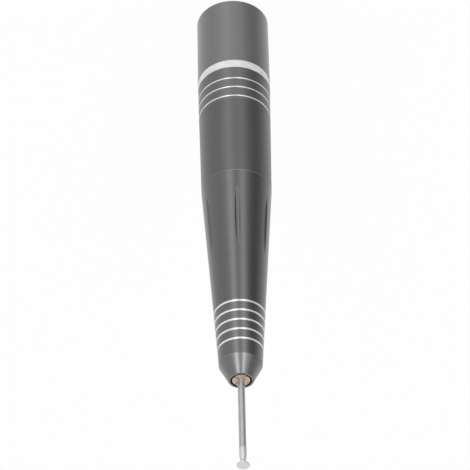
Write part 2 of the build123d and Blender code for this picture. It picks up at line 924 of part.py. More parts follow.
coil_inner_radius = core_hub_radius + seat_gap
coil_outer_radius = core_radius - pole_shoe - seat_gap
coil_reach = coil_outer_radius - coil_inner_radius
with BuildPart() as armature_windings:
    with BuildSketch(Plane.XY.offset(armature_z - winding_overhang)):
        with PolarLocations((coil_outer_radius + coil_inner_radius) / 2, pole_count):
            Rectangle(coil_reach * winding_share, pole_neck_width + 2 * winding_thickness)
    extrude(amount=core_length + 2 * winding_overhang)
    with BuildSketch(Plane.XY.offset(armature_z - seat_gap)):
        with PolarLocations((coil_outer_radius + coil_inner_radius) / 2, pole_count):
            Rectangle(coil_reach, pole_neck_width + 2 * seat_gap)
    extrude(amount=core_length + 2 * seat_gap, mode=Mode.SUBTRACT)
pieces["armature_windings"] = armature_windings

# Coupling between the motor shaft and the spindle
half_coupling = (coupling_length - coupling_web) / 2
coupling_end_z = coupling_z + coupling_length
with BuildPart() as shaft_coupling:
    revolve(
        half_section(
            (shaft_radius + seat_gap, coupling_z),
            (coupling_radius, coupling_z),
            (coupling_radius, coupling_end_z),
            (spindle_tail_radius + seat_gap, coupling_end_z),
            (spindle_tail_radius + seat_gap, coupling_end_z - half_coupling),
            (0, coupling_end_z - half_coupling),
            (0, coupling_z + half_coupling),
            (shaft_radius + seat_gap, coupling_z + half_coupling),
        ),
        axis=Axis.Z,
    )
    for slit in range(coupling_slit_count):
        slit_middle_z = coupling_z + coupling_length / 2
        slit_z = slit_middle_z + (slit - (coupling_slit_count - 1) / 2) * coupling_slit_pitch
        revolve(
            ring_section(
                coupling_radius - coupling_slit_depth,
                coupling_radius + overrun,
                slit_z - coupling_slit_width / 2,
                slit_z + coupling_slit_width / 2,
            ),
            axis=Axis.Z,
            mode=Mode.SUBTRACT,
        )
    for screw_z in (coupling_z + grub_screw_inset, coupling_end_z - grub_screw_inset):
        with BuildSketch(Plane(origin=(0, 0, screw_z), x_dir=(0, 1, 0), z_dir=(1, 0, 0))):
            Circle(grub_screw_radius + seat_gap)
        extrude(amount=coupling_radius + overrun, mode=Mode.SUBTRACT)
pieces["shaft_coupling"] = shaft_coupling

with BuildPart() as coupling_screws:
    grub_places = (
        (coupling_z + grub_screw_inset, shaft_radius),
        (coupling_end_z - grub_screw_inset, spindle_tail_radius),
    )
    for screw_z, seat_radius in grub_places:
        screw_foot = (seat_radius + seat_gap, 0, screw_z)
        with BuildSketch(Plane(origin=screw_foot, x_dir=(0, 1, 0), z_dir=(1, 0, 0))):
            Circle(grub_screw_radius)
        extrude(amount=coupling_radius - seat_radius - sliding_gap)
pieces["coupling_screws"] = coupling_screws

# Spindle in its two ball bearings
spindle_end_z = spigot_z + spindle_nut_height + spindle_past_nut
spindle_seat_radius = bearing_bore_radius - seat_gap
collet_tail_z = spindle_end_z - collet_tail_length
with BuildPart() as spindle:
    revolve(
        half_section(
            (0, coupling_end_z - half_coupling + seat_gap),
            (spindle_tail_radius, coupling_end_z - half_coupling + seat_gap),
            (spindle_tail_radius, rear_bearing_z),
            (spindle_seat_radius, rear_bearing_z),
            (spindle_seat_radius, shoulder_z),
            (spindle_shoulder_radius, shoulder_z),
            (spindle_shoulder_radius, front_bearing_z),
            (spindle_seat_radius, front_bearing_z),
            (spindle_seat_radius, spindle_end_z),
            (spindle_bore_radius, spindle_end_z),
            (spindle_bore_radius, collet_tail_z - seat_gap),
            (0, collet_tail_z - seat_gap),
        ),
        axis=Axis.Z,
    )
pieces["spindle"] = spindle

inner_race_radius = bearing_bore_radius + race_wall
outer_race_radius = bearing_outer_radius - race_wall


def bearing(end, low):
    """The four pieces of one deep-groove ball bearing whose rear face is at the height low."""
    middle = low + bearing_width / 2
    high = low + bearing_width
    groove_radius = ball_radius + turning_gap
    with BuildPart() as outer_race:
        revolve(
            half_section(
                (outer_race_radius, low),
                (bearing_outer_radius - race_chamfer, low),
                (bearing_outer_radius, low + race_chamfer),
                (bearing_outer_radius, high - race_chamfer),
                (bearing_outer_radius - race_chamfer, high),
                (outer_race_radius, high),
            ),
            axis=Axis.Z,
        )
        with Locations((0, 0, middle)):
            Torus(ball_circle, groove_radius, mode=Mode.SUBTRACT)
    with BuildPart() as inner_race:
        revolve(
            half_section(
                (bearing_bore_radius, low + race_chamfer),
                (bearing_bore_radius + race_chamfer, low),
                (inner_race_radius, low),
                (inner_race_radius, high),
                (bearing_bore_radius + race_chamfer, high),
                (bearing_bore_radius, high - race_chamfer),
            ),
            axis=Axis.Z,
        )
        with Locations((0, 0, middle)):
            Torus(ball_circle, groove_radius, mode=Mode.SUBTRACT)
    with BuildPart() as balls:
        with Locations((0, 0, middle)):
            with PolarLocations(ball_circle, ball_count):
                Sphere(ball_radius)
    with BuildPart() as cage:
        revolve(
            ring_section(
                ball_circle - cage_wall / 2,
                ball_circle + cage_wall / 2,
                middle - cage_height / 2,
                middle + cage_height / 2,
            ),
            axis=Axis.Z,
        )
        for ball in range(ball_count):
            turn = math.radians(ball * 360 / ball_count)
            outward = Vector(math.cos(turn), math.sin(turn), 0)
            with BuildSketch(Plane(origin=(0, 0, middle), x_dir=(0, 0, 1), z_dir=outward)):
                Circle(groove_radius)
            extrude(amount=bearing_outer_radius, mode=Mode.SUBTRACT)
    pieces[f"{end}_bearing_outer"] = outer_race
    pieces[f"{end}_bearing_inner"] = inner_race
    pieces[f"{end}_bearing_balls"] = balls
    pieces[f"{end}_bearing_cage"] = cage


bearing("rear", rear_bearing_z)
bearing("front", front_bearing_z)

with BuildPart() as bearing_circlip:
    circlip_radius = bearing_seat_radius + circlip_depth - seat_gap
    circlip_bore_radius = circlip_radius - circlip_width
    revolve(
        ring_section(circlip_bore_radius, circlip_radius, circlip_z, circlip_z + circlip_thickness),
        axis=Axis.Z,
    )
    with BuildSketch(Plane.XY.offset(circlip_z)):
        with Locations((circlip_radius, 0)):
            Rectangle(2 * circlip_width + circlip_opening, circlip_opening)
    extrude(amount=circlip_thickness, mode=Mode.SUBTRACT)
pieces["bearing_circlip"] = bearing_circlip

with BuildPart() as preload_washer:
    washer_bore_radius = bearing_outer_radius - washer_width
    revolve(
        ring_section(washer_bore_radius, bearing_outer_radius, shoulder_z, shoulder_z + washer_thickness),
        axis=Axis.Z,
    )
pieces["preload_washer"] = preload_washer

with BuildPart() as spindle_nut:
    nut_end_z = spigot_z + spindle_nut_height
    revolve(ring_section(bearing_bore_radius, spindle_nut_radius, spigot_z, nut_end_z), axis=Axis.Z)
    with BuildSketch(Plane.XY.offset(nut_end_z)):
        Rectangle(2 * spindle_nut_radius, nut_slot_width)
    extrude(amount=-nut_slot_depth, mode=Mode.SUBTRACT)
pieces["spindle_nut"] = spindle_nut

# Nose cap, its seal, the collet and the bit
nose_cavity_z = face_z - nose_front_wall
with BuildPart() as nose_cap:
    revolve(
        half_section(
            (nose_inner_radius, spigot_z),
            (nose_spigot_radius, spigot_z),
            (nose_spigot_radius, nose_z),
            (grip_front_radius, nose_z),
            (grip_front_radius - nose_land * grip_slope, nose_z + nose_land),
            (nose_face_radius, face_z),
            (nose_hole_radius, face_z),
            (nose_hole_radius, nose_cavity_z),
            (nose_inner_radius, nose_cavity_z),
        ),
        axis=Axis.Z,
    )
pieces["nose_cap"] = nose_cap

with BuildPart() as nose_seal:
    seal_bore_radius = collet_radius + turning_gap
    revolve(
        half_section(
            (seal_bore_radius, nose_cavity_z - nose_seal_flange),
            (nose_hole_radius + nose_seal_flange_width, nose_cavity_z - nose_seal_flange),
            (nose_hole_radius + nose_seal_flange_width, nose_cavity_z),
            (nose_hole_radius - seat_gap, nose_cavity_z),
            (nose_hole_radius - seat_gap, face_z - nose_seal_sink),
            (seal_bore_radius, face_z - nose_seal_sink),
        ),
        axis=Axis.Z,
    )
pieces["nose_seal"] = nose_seal

bit_z = face_z - bit_inserted
bit_hole_radius = shank_radius + seat_gap
with BuildPart() as collet:
    revolve(
        half_section(
            (0, collet_tail_z),
            (spindle_bore_radius - seat_gap, collet_tail_z),
            (spindle_bore_radius - seat_gap, spindle_end_z),
            (collet_radius, spindle_end_z),
            (collet_radius, face_z - collet_chamfer),
            (collet_radius - collet_chamfer, face_z),
            (bit_hole_radius, face_z),
            (bit_hole_radius, bit_z - bit_end_gap),
            (0, bit_z - bit_end_gap),
        ),
        axis=Axis.Z,
    )
    with BuildSketch(Plane.XY.offset(face_z)):
        slot_reach = collet_radius + overrun
        with PolarLocations(slot_reach / 2, collet_slot_count, start_angle=180 / collet_slot_count):
            Rectangle(slot_reach, collet_slot_width)
    extrude(amount=-collet_slot_length, mode=Mode.SUBTRACT)
pieces["collet"] = collet

bit_end_z = bit_z + bit_length
disc_z = bit_end_z - bit_disc_thickness
collar_end = disc_z - bit_flare_length - bit_neck_length
collar_start = collar_end - bit_collar_length
with BuildPart() as engraving_bit:
    revolve(
        half_section(
            (0, bit_z),
            (shank_radius, bit_z),
            (shank_radius, collar_start),
            (bit_collar_radius, collar_start),
            (bit_collar_radius, collar_end),
            (bit_neck_radius, disc_z - bit_flare_length),
            (bit_flare_radius, disc_z),
            (bit_disc_radius - bit_disc_edge, disc_z),
            (bit_disc_radius, disc_z + bit_disc_edge),
            (bit_disc_radius, bit_end_z - bit_disc_edge),
            (bit_disc_radius - bit_disc_edge, bit_end_z),
            (0, bit_end_z),
        ),
        axis=Axis.Z,
    )
pieces["engraving_bit"] = engraving_bit

os.makedirs("parts", exist_ok=True)
for label, piece in pieces.items():
    piece.part.label = label
    export_step(piece.part, f"parts/{label}.step")
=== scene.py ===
"""The finish of a cordless electric engraving pen, standing on its tail rim in a white studio.

The frame gives the place and size of every piece. The turned shells, the collet and the bit are made
here again with eased edges and finer surfaces, and the pieces inside keep their solids.
"""
import math

import bpy
from mathutils import Matrix, Vector


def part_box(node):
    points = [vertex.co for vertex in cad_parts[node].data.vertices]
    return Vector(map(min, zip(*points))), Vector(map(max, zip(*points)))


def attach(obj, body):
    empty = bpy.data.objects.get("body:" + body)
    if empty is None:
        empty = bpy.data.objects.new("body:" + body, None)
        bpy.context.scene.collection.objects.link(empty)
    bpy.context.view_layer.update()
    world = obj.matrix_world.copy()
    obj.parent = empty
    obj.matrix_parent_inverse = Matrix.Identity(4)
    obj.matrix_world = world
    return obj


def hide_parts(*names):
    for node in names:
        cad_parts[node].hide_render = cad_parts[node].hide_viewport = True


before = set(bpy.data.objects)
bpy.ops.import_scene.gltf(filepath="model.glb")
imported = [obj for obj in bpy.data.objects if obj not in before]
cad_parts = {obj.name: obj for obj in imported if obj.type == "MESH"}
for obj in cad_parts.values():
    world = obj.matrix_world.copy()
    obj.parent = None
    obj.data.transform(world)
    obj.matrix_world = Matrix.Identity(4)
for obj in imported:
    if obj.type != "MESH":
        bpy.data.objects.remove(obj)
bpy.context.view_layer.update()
mm = 0.001


# Camera. It looks down along the pen from in front of its tip, and is rolled over, so that the tip
# comes towards the viewer at the bottom of the picture and the tail rim is at the top.
camera = bpy.data.objects.new("camera", bpy.data.cameras.new("camera"))
bpy.context.scene.collection.objects.link(camera)
bpy.context.scene.camera = camera
camera.data.lens = 183.8
camera.data.sensor_width = 36.0
camera_place = Vector((0.01048, -0.63254, 0.6355))
camera_look = Vector((-0.01158, 0.76441, -0.64462)).normalized()
camera_right = camera_look.cross(Vector((-0.01373, -0.64473, -0.76429))).normalized()
camera_up = camera_right.cross(camera_look)
camera_turn = Matrix((camera_right, camera_up, -camera_look)).transposed()
camera.matrix_world = Matrix.Translation(camera_place) @ camera_turn.to_4x4()


# Studio. A round tent of cloth hangs about the pen: even white with two brighter strips in front of
# it and one dark gap at its side, which the satin metal shows as long soft stripes. The cap and the
# barrel mirror its hem, the grip its wall and the nose its top, and the camera sees plain white.
class Term:
    """A number in a node tree; arithmetic on it adds Math nodes."""

    def __init__(self, nodes, socket):
        self.nodes = nodes
        self.socket = socket

    def math(self, operation, *values):
        return self.nodes.add("ShaderNodeMath", {"operation": operation}, dict(enumerate(values)))[0]

    def __add__(self, other):
        return self.math("ADD", self, other)

    def __radd__(self, other):
        return self.math("ADD", other, self)

    def __sub__(self, other):
        return self.math("SUBTRACT", self, other)

    def __rsub__(self, other):
        return self.math("SUBTRACT", other, self)

    def __mul__(self, other):
        return self.math("MULTIPLY", self, other)

    def __rmul__(self, other):
        return self.math("MULTIPLY", other, self)

    def __truediv__(self, other):
        return self.math("DIVIDE", self, other)

    def __rtruediv__(self, other):
        return self.math("DIVIDE", other, self)

    def __mod__(self, other):
        return self.math("FLOORED_MODULO", self, other)

    def rounded_down(self):
        return self.math("FLOOR", self)

    def size(self):
        return self.math("ABSOLUTE", self)

    def sign(self):
        return self.math("SIGN", self)

    def root(self):
        return self.math("SQRT", self)

    def sine(self):
        return self.math("SINE", self)

    def cosine(self):
        return self.math("COSINE", self)

    def angle_of_cosine(self):
        return self.math("ARCCOSINE", self)

    def angle_over(self, other):
        """The angle whose tangent is this over other, in its own quarter."""
        return self.math("ARCTAN2", self, other)

    def at_least(self, other):
        return self.math("MAXIMUM", self, other)

    def at_most(self, other):
        return self.math("MINIMUM", self, other)

    def is_over(self, other):
        return self.math("GREATER_THAN", self, other)

    def rise(self, low, high):
        """A smooth step from 0 at low to 1 at high; high may be the lower one."""
        return self.nodes.add(
            "ShaderNodeMapRange",
            {"interpolation_type": "SMOOTHSTEP"},
            {"Value": self, "From Min": low, "From Max": high},
        )["Result"]


class Nodes:
    """One tree of nodes, all of them added by one method."""

    def __init__(self, tree):
        self.tree = tree
        tree.nodes.clear()

    def add(self, kind, settings=None, values=None):
        node = self.tree.nodes.new(kind)
        for name, value in (settings or {}).items():
            if name == "stops":
                set_stops(node.color_ramp, value)
            else:
                setattr(node, name, value)
        for key, value in (values or {}).items():
            socket = find_socket(node.inputs, key)
            if isinstance(value, Term):
                self.tree.links.new(value.socket, socket)
            else:
                socket.default_value = value
        return Outputs(self, node)


class Outputs:
    """The outputs of a node, by name or number."""

    def __init__(self, nodes, node):
        self.nodes = nodes
        self.node = node

    def __getitem__(self, key):
        return Term(self.nodes, find_socket(self.node.outputs, key))


def find_socket(sockets, key):
    if isinstance(key, int):
        return sockets[key]
    return next(socket for socket in sockets if socket.enabled and socket.name == key)


def set_stops(ramp, stops):
    while len(ramp.elements) < len(stops):
        ramp.elements.new(1.0)
    for element, (position, level) in zip(ramp.elements, stops):
        element.position = position
        element.color = (level, level, level, 1.0)


tent_brightest = 2.4
top_join_low, top_join_high = -0.25, 0.0
hem_join_low, hem_join_high = -0.7, -0.56
hem_shares = {-12: 0.9, -5: 0.85, 2: 0.85, 9: 0.75, 16: 0.6, 22: 0.63, 30: 0.9, 39: 1.25, 50: 1.6, 70: 1.2}
wall_levels = (
    (-180, 0.7),
    (-160, 1.0),
    (-146, 1.15),
    (-132, 1.06),
    (-118, 0.97),
    (-97, 0.86),
    (-60, 0.8),
    (-42, 0.88),
    (-32, 1.15),
    (-25, 1.62),
    (-19, 1.92),
    (-12, 1.15),
    (-5, 0.8),
    (2, 0.78),
    (9, 1.15),
    (16, 1.8),
    (22, 1.52),
    (30, 0.9),
    (39, 0.5),
    (50, 0.3),
    (70, 0.27),
    (92, 0.54),
    (105, 0.82),
    (120, 0.95),
    (132, 1.02),
    (146, 1.15),
    (160, 1.0),
    (180, 0.7),
)
top_levels = (
    (-180, 1.15),
    (-155, 0.8),
    (-118, 0.82),
    (-97, 0.68),
    (-60, 0.66),
    (-42, 0.82),
    (-32, 1.4),
    (-25, 2.1),
    (-19, 2.35),
    (-12, 1.4),
    (-5, 0.85),
    (2, 0.82),
    (9, 1.35),
    (16, 2.2),
    (22, 1.8),
    (30, 1.2),
    (39, 0.9),
    (50, 0.62),
    (61, 0.44),
    (75, 0.4),
    (92, 0.5),
    (105, 0.62),
    (140, 0.72),
    (158, 0.76),
    (180, 1.15),
)
world = bpy.data.worlds.new("studio")
bpy.context.scene.world = world
world.use_nodes = True
nodes = Nodes(world.node_tree)
outward = nodes.add("ShaderNodeSeparateXYZ", {}, {0: nodes.add("ShaderNodeTexCoord")["Generated"]})
bearing_share = (0 - outward["X"]).angle_over(0 - outward["Y"]) / math.tau + 0.5


def tent_part(levels):
    """The light of one part of the tent at every bearing, from its levels at some of them."""
    stops = [(bearing / 360 + 0.5, level / tent_brightest) for bearing, level in levels]
    return nodes.add("ShaderNodeValToRGB", {"stops": stops}, {"Fac": bearing_share})["Color"]


def joined_parts(low_height, high_height, lower, upper):
    """One part of the tent turning into the next between two heights."""
    parts = {"Factor": outward["Z"].rise(low_height, high_height), "A": lower, "B": upper}
    return nodes.add("ShaderNodeMix", {"data_type": "RGBA"}, parts)["Result"]


hem_levels = [(bearing, level * hem_shares.get(bearing, 1)) for bearing, level in wall_levels]
hem_and_wall = joined_parts(hem_join_low, hem_join_high, tent_part(hem_levels), tent_part(wall_levels))
tent = joined_parts(top_join_low, top_join_high, hem_and_wall, tent_part(top_levels))
cloth = nodes.add("ShaderNodeBackground", {}, {"Color": tent, "Strength": tent_brightest})["Background"]
white = nodes.add("ShaderNodeBackground", {}, {"Color": (1, 1, 1, 1), "Strength": 1.0})["Background"]
seen = nodes.add("ShaderNodeLightPath")["Is Camera Ray"]
either = nodes.add("ShaderNodeMixShader", {}, {0: seen, 1: cloth, 2: white})[0]
nodes.add("ShaderNodeOutputWorld", {}, {"Surface": either})
bpy.context.scene.view_settings.view_transform = "Standard"

# Table. A white board, nearly lost in the white about it, that keeps a faint trace of the pen's
# shadow. It has a hole under the tail for light to reach the button, and the metal doesn't mirror it.
table_radius = 4.0
table_hole_radius = 11.5 * mm
table_corners = 96
table_angles = [math.tau * corner / table_corners for corner in range(table_corners)]
table_points = [
    (radius * math.cos(angle), radius * math.sin(angle), 0)
    for radius in (table_hole_radius, table_radius)
    for angle in table_angles
]
table_faces = [
    (corner, table_corners + corner, table_corners + after, after)
    for corner, after in zip(range(table_corners), (*range(1, table_corners), 0))
]
table_mesh = bpy.data.meshes.new("table")
table_mesh.from_pydata(table_points, [], table_faces)
table = bpy.data.objects.new("table", table_mesh)
bpy.context.scene.collection.objects.link(table)
table.visible_glossy = False
board_white = (0.97, 0.97, 0.97, 1)
shadow_trace = 0.06
white_board = bpy.data.materials.new("white_board")
white_board.use_nodes = True
nodes = Nodes(white_board.node_tree)
shaded = nodes.add("ShaderNodeBsdfDiffuse", {}, {"Color": board_white})["BSDF"]
clear = nodes.add("ShaderNodeBsdfTransparent")["BSDF"]
seen = nodes.add("ShaderNodeLightPath")["Is Camera Ray"]
faint = nodes.add("ShaderNodeMixShader", {}, {0: seen * (1 - shadow_trace), 1: shaded, 2: clear})[0]
nodes.add("ShaderNodeOutputMaterial", {}, {"Surface": faint})
table_mesh.materials.append(white_board)


# Tail cap. An aluminium tube, closed at the tail, turned, brushed round, anodised in a light satin
# grey and sealed clear. It screws onto the collar and carries the switch in its end.
def tone(red, green, blue):
    """A colour from the eight-bit levels that it shows as."""
    levels = [level / 255 for level in (red, green, blue)]
    return (*[((level + 0.055) / 1.055) ** 2.4 if level > 0.04 else level / 12.92 for level in levels], 1.0)


class Finish:
    """A material under way: its nodes, and where a point of the surface is."""

    def __init__(self, name):
        self.material = bpy.data.materials.new(name)
        self.material.use_nodes = True
        self.nodes = Nodes(self.material.node_tree)
        self.place = self.nodes.add("ShaderNodeTexCoord")["Object"]
        sides = self.nodes.add("ShaderNodeSeparateXYZ", {}, {0: self.place})
        self.x, self.y, self.z = sides["X"], sides["Y"], sides["Z"]

    def noise(self, round_size, height_size, detail=2.0):
        """Cloudy noise with spots of round_size across the pen and height_size along it."""
        grain = (1 / round_size, 1 / round_size, 1 / height_size)
        scaled = {0: self.place, 1: grain}
        spot = self.nodes.add("ShaderNodeVectorMath", {"operation": "MULTIPLY"}, scaled)[0]
        cloud = {"Vector": spot, "Scale": 1.0, "Detail": detail}
        return self.nodes.add("ShaderNodeTexNoise", {}, cloud)["Fac"]

    def mix(self, share, first, second):
        """The first colour, turning into the second as share goes from 0 to 1."""
        colours = {"Factor": share, "A": first, "B": second}
        return self.nodes.add("ShaderNodeMix", {"data_type": "RGBA"}, colours)["Result"]

    def bump(self, height):
        """A normal from a height in metres."""
        relief = {"Strength": 1.0, "Distance": 1.0, "Height": height}
        return self.nodes.add("ShaderNodeBump", {}, relief)["Normal"]

    def done(self, **sockets):
        """Closes the material with a Principled shader, given its sockets by name."""
        values = {name.replace("_", " "): value for name, value in sockets.items()}
        shader = self.nodes.add("ShaderNodeBsdfPrincipled", {}, values)["BSDF"]
        self.nodes.add("ShaderNodeOutputMaterial", {}, {"Surface": shader})
        return self.material


def new_shape(name, inputs):
    """An empty node tree for a shape, with named inputs after its geometry."""
    tree = bpy.data.node_groups.new(name, "GeometryNodeTree")
    tree.interface.new_socket("Geometry", in_out="INPUT", socket_type="NodeSocketGeometry")
    for label, kind in inputs:
        tree.interface.new_socket(label, in_out="INPUT", socket_type="NodeSocket" + kind)
    tree.interface.new_socket("Geometry", in_out="OUTPUT", socket_type="NodeSocketGeometry")
    return tree


def drawn_grid(nodes, given, loop):
    """A grid with a column of points for each step round: it, the step, and the section's point there."""
    points = nodes.add("GeometryNodeAttributeDomainSize", {}, {"Geometry": given["Geometry"]})["Point Count"]
    rings = points + loop
    lines = {"Vertices X": given["Segments"] + 1, "Vertices Y": rings}
    grid = nodes.add("GeometryNodeMeshGrid", {}, lines)["Mesh"]
    number = nodes.add("GeometryNodeInputIndex")["Index"]
    drawn = {
        "Geometry": given["Geometry"],
        "Value": nodes.add("GeometryNodeInputPosition")["Position"],
        "Index": (number % rings) % points,
    }
    point = nodes.add("GeometryNodeSampleIndex", {"data_type": "FLOAT_VECTOR"}, drawn)["Value"]
    sides = nodes.add("ShaderNodeSeparateXYZ", {}, {0: point})
    return grid, (number / rings).rounded_down(), sides["X"], sides["Z"]


def placed(nodes, geometry, radius, turn, height):
    """The geometry with its points moved to these cylinder coordinates."""
    spot = {"X": radius * turn.cosine(), "Y": radius * turn.sine(), "Z": height}
    place = nodes.add("ShaderNodeCombineXYZ", {}, spot)["Vector"]
    return nodes.add("GeometryNodeSetPosition", {}, {"Geometry": geometry, "Position": place})[0]


meeting_distance = 0.0002 * mm


def close_shape(nodes, geometry, finish, crisp=math.radians(50)):
    """Ends a shape: points that meet are joined, and edges that bend by more than crisp stay sharp."""
    met = {"Geometry": geometry, "Distance": meeting_distance}
    joined = nodes.add("GeometryNodeMergeByDistance", {}, met)[0]
    smooth_faces = {"Geometry": joined, "Shade Smooth": True}
    rounded = nodes.add("GeometryNodeSetShadeSmooth", {"domain": "FACE"}, smooth_faces)[0]
    bend = nodes.add("GeometryNodeInputMeshEdgeAngle")["Unsigned Angle"]
    edges = {"Geometry": rounded, "Selection": bend.is_over(crisp), "Shade Smooth": False}
    edged = nodes.add("GeometryNodeSetShadeSmooth", {"domain": "EDGE"}, edges)[0]
    real = nodes.add("GeometryNodeRealizeInstances", {}, {"Geometry": edged})[0]
    painted = nodes.add("GeometryNodeSetMaterial", {}, {"Geometry": real, "Material": finish})[0]
    nodes.add("NodeGroupOutput", {}, {"Geometry": painted})


def shape(piece, tree, **inputs):
    """Runs a shape tree on the piece and keeps the result as its plain mesh."""
    modifier = piece.modifiers.new(tree.name, "NODES")
    modifier.node_group = tree
    for label, value in inputs.items():
        modifier[tree.interface.items_tree[label].identifier] = value
    old_mesh = piece.data
    piece_mesh = bpy.data.meshes.new_from_object(piece.evaluated_get(bpy.context.evaluated_depsgraph_get()))
    piece.modifiers.remove(modifier)
    piece.data = piece_mesh
    bpy.data.meshes.remove(old_mesh)
    return piece


lathe = new_shape("lathe", (("Segments", "Int"), ("Loop", "Int"), ("Finish", "Material")))
nodes = Nodes(lathe)
given = nodes.add("NodeGroupInput")
sheet, step, section_radius, section_height = drawn_grid(nodes, given, given["Loop"])
turned_sheet = placed(nodes, sheet, section_radius, step / given["Segments"] * math.tau, section_height)
close_shape(nodes, turned_sheet, given["Finish"])


flat_half_corner = math.radians(89.5)
side_share_limit = 0.4
arc_guard = 1.12
arc_steps = 4


def eased(corners, usual_ease, loop):
    """The outline with each corner rounded by its own or the usual ease, for smooth shading."""
    outline = []
    for number, (radius, height, *own_ease) in enumerate(corners):
        here = Vector((radius, height))
        ease = own_ease[0] if own_ease else usual_ease
        to_last = Vector(corners[number - 1][:2]) - here
        to_next = Vector(corners[(number + 1) % len(corners)][:2]) - here
        at_end = not loop and number in (0, len(corners) - 1)
        half_corner = 0 if at_end else to_last.angle(to_next) / 2
        if at_end or ease == 0 or half_corner > flat_half_corner:
            outline.append(here)
            continue
        shorter_side = min(to_last.length, to_next.length)
        reach = min(ease / math.tan(half_corner), side_share_limit * shorter_side)
        outline.append(here + to_last.normalized() * reach * arc_guard)
        for arc_step in range(arc_steps + 1):
            share = arc_step / arc_steps
            bend = to_last.normalized() * (1 - share) ** 2 + to_next.normalized() * share**2
            outline.append(here + bend * reach)
        outline.append(here + to_next.normalized() * reach * arc_guard)
    return outline


def drawn(name, outline):
    """A new piece that is only its section, a line of points in the XZ plane."""
    section = bpy.data.meshes.new(name)
    section.from_pydata([(point.x, 0, point.y) for point in outline], [], [])
    piece = bpy.data.objects.new(name, section)
    bpy.context.scene.collection.objects.link(piece)
    return piece


def turned(name, corners, finish, ease=0.06 * mm, segments=192):
    """A turned piece, from (radius, height) corners that run up its outer wall."""
    loop = corners[0][0] > 0
    piece = drawn(name, eased(corners, ease, loop))
    return shape(piece, lathe, Segments=segments, Loop=int(loop), Finish=finish)


def install(piece, body, slot, *solids):
    """The piece rides on the body and stands for these solids, which it hides; slot is not used."""
    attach(piece, body)
    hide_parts(*solids)


def dress(finish, *names):
    """Gives the finish to pieces that keep their solids."""
    for name in names:
        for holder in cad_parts[name].material_slots:
            holder.material = finish


cap_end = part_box("tail_cap")[1]
cap_rim_chamfer = 0.4 * mm
cap_edge = 0.15 * mm
cap_recess_depth = 1.4 * mm
cap_recess_radius = 10.4 * mm
cap_wall_height = 3.9 * mm
cap_chamber_radius = 10.6 * mm
cap_thread_radius = 11.65 * mm
cap_thread_height = 20.6 * mm
button_hole_radius = 6.1 * mm
rim_wear_height = 0.3 * mm
brushing_depth = 0.0015 * mm

satin = Finish("satin_cap")
brushing = satin.noise(4.0 * mm, 0.09 * mm)
wide_brushing = satin.noise(9.0 * mm, 0.5 * mm)
rim_wear = satin.z.rise(rim_wear_height, 0.0) * satin.noise(0.5 * mm, 0.5 * mm).rise(0.35, 0.75)
satin_colour = satin.mix(wide_brushing, tone(122, 122, 123), tone(132, 132, 133))
satin_cap = satin.done(
    Base_Color=satin.mix(rim_wear * 0.45, satin_colour, tone(190, 190, 191)),
    Metallic=1.0,
    Roughness=0.5 + 0.1 * brushing,
    Coat_Weight=0.75,
    Coat_Roughness=0.35,
    Normal=satin.bump(brushing * brushing_depth),
)
tail_cap = turned(
    "cap_shell",
    (
        (cap_recess_radius, 0),
        (cap_end.x - cap_rim_chamfer, 0),
        (cap_end.x, cap_rim_chamfer, cap_edge),
        (cap_end.x, cap_end.z - cap_edge),
        (cap_end.x - cap_edge, cap_end.z),
        (cap_thread_radius, cap_end.z),
        (cap_thread_radius, cap_thread_height),
        (cap_chamber_radius, cap_thread_height),
        (cap_chamber_radius, cap_wall_height),
        (button_hole_radius, cap_wall_height),
        (button_hole_radius, cap_recess_depth),
        (cap_recess_radius, cap_recess_depth),
    ),
    satin_cap,
)
install(tail_cap, "tail_cap", "satin_cap", "tail_cap")


# Push button and switch. The button is moulded rubber with a shallow dish for the thumb, let into
# the tail so that the pen still stands, and behind it are its seal, spring, switch and switch board.
button_low, button_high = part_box("switch_button")
button_radius = 6.0 * mm
button_edge = 0.4 * mm
button_flange = 1.0 * mm
button_ease = 0.2 * mm
dish_radius = 4.6 * mm
dish_depth = 0.3 * mm
dish_ease = 0.6 * mm
dish_lip_ease = 0.3 * mm
rubber_grain_depth = 0.02 * mm
plastic_grain_depth = 0.006 * mm
metal_mark_depth = 0.002 * mm

rubber = Finish("black_rubber")
rubber_grain = rubber.noise(0.15 * mm, 0.15 * mm)
rubber_dust = rubber.noise(2.0 * mm, 2.0 * mm).rise(0.45, 0.8)
black_rubber = rubber.done(
    Base_Color=rubber.mix(rubber_dust * 0.4, tone(12, 11, 11), tone(44, 42, 41)),
    Roughness=0.6 + 0.2 * rubber_grain,
    Specular_IOR_Level=0.08,
    Normal=rubber.bump(rubber_grain * rubber_grain_depth),
)
thumb_button = turned(
    "thumb_button",
    (
        (0, button_low.z + dish_depth),
        (dish_radius - dish_depth, button_low.z + dish_depth, dish_ease),
        (dish_radius, button_low.z, dish_lip_ease),
        (button_radius - button_edge, button_low.z, button_ease),
        (button_radius, button_low.z + button_edge, button_ease),
        (button_radius, button_high.z - button_flange),
        (button_high.x, button_high.z - button_flange),
        (button_high.x, button_high.z),
        (0, button_high.z),
    ),
    black_rubber,
    segments=128,
)
install(thumb_button, "switch_button", "black_rubber", "switch_button")


def moulded(name, dark, light, roughness):
    """A hard plastic with a fine spark-eroded grain."""
    plastic = Finish(name)
    grain = plastic.noise(0.12 * mm, 0.12 * mm)
    cloud = plastic.noise(3.0 * mm, 3.0 * mm)
    return plastic.done(
        Base_Color=plastic.mix(cloud, dark, light),
        Roughness=roughness + 0.15 * grain,
        Normal=plastic.bump(grain * plastic_grain_depth),
    )


def machined(name, dark, light, roughness, round_size=2.5 * mm, height_size=0.12 * mm):
    """A metal with the marks of its making, which run round the pen unless the sizes say otherwise."""
    metal = Finish(name)
    marks = metal.noise(round_size, height_size)
    return metal.done(
        Base_Color=metal.mix(marks, dark, light),
        Metallic=1.0,
        Roughness=roughness + 0.14 * marks,
        Normal=metal.bump(marks * metal_mark_depth),
    )


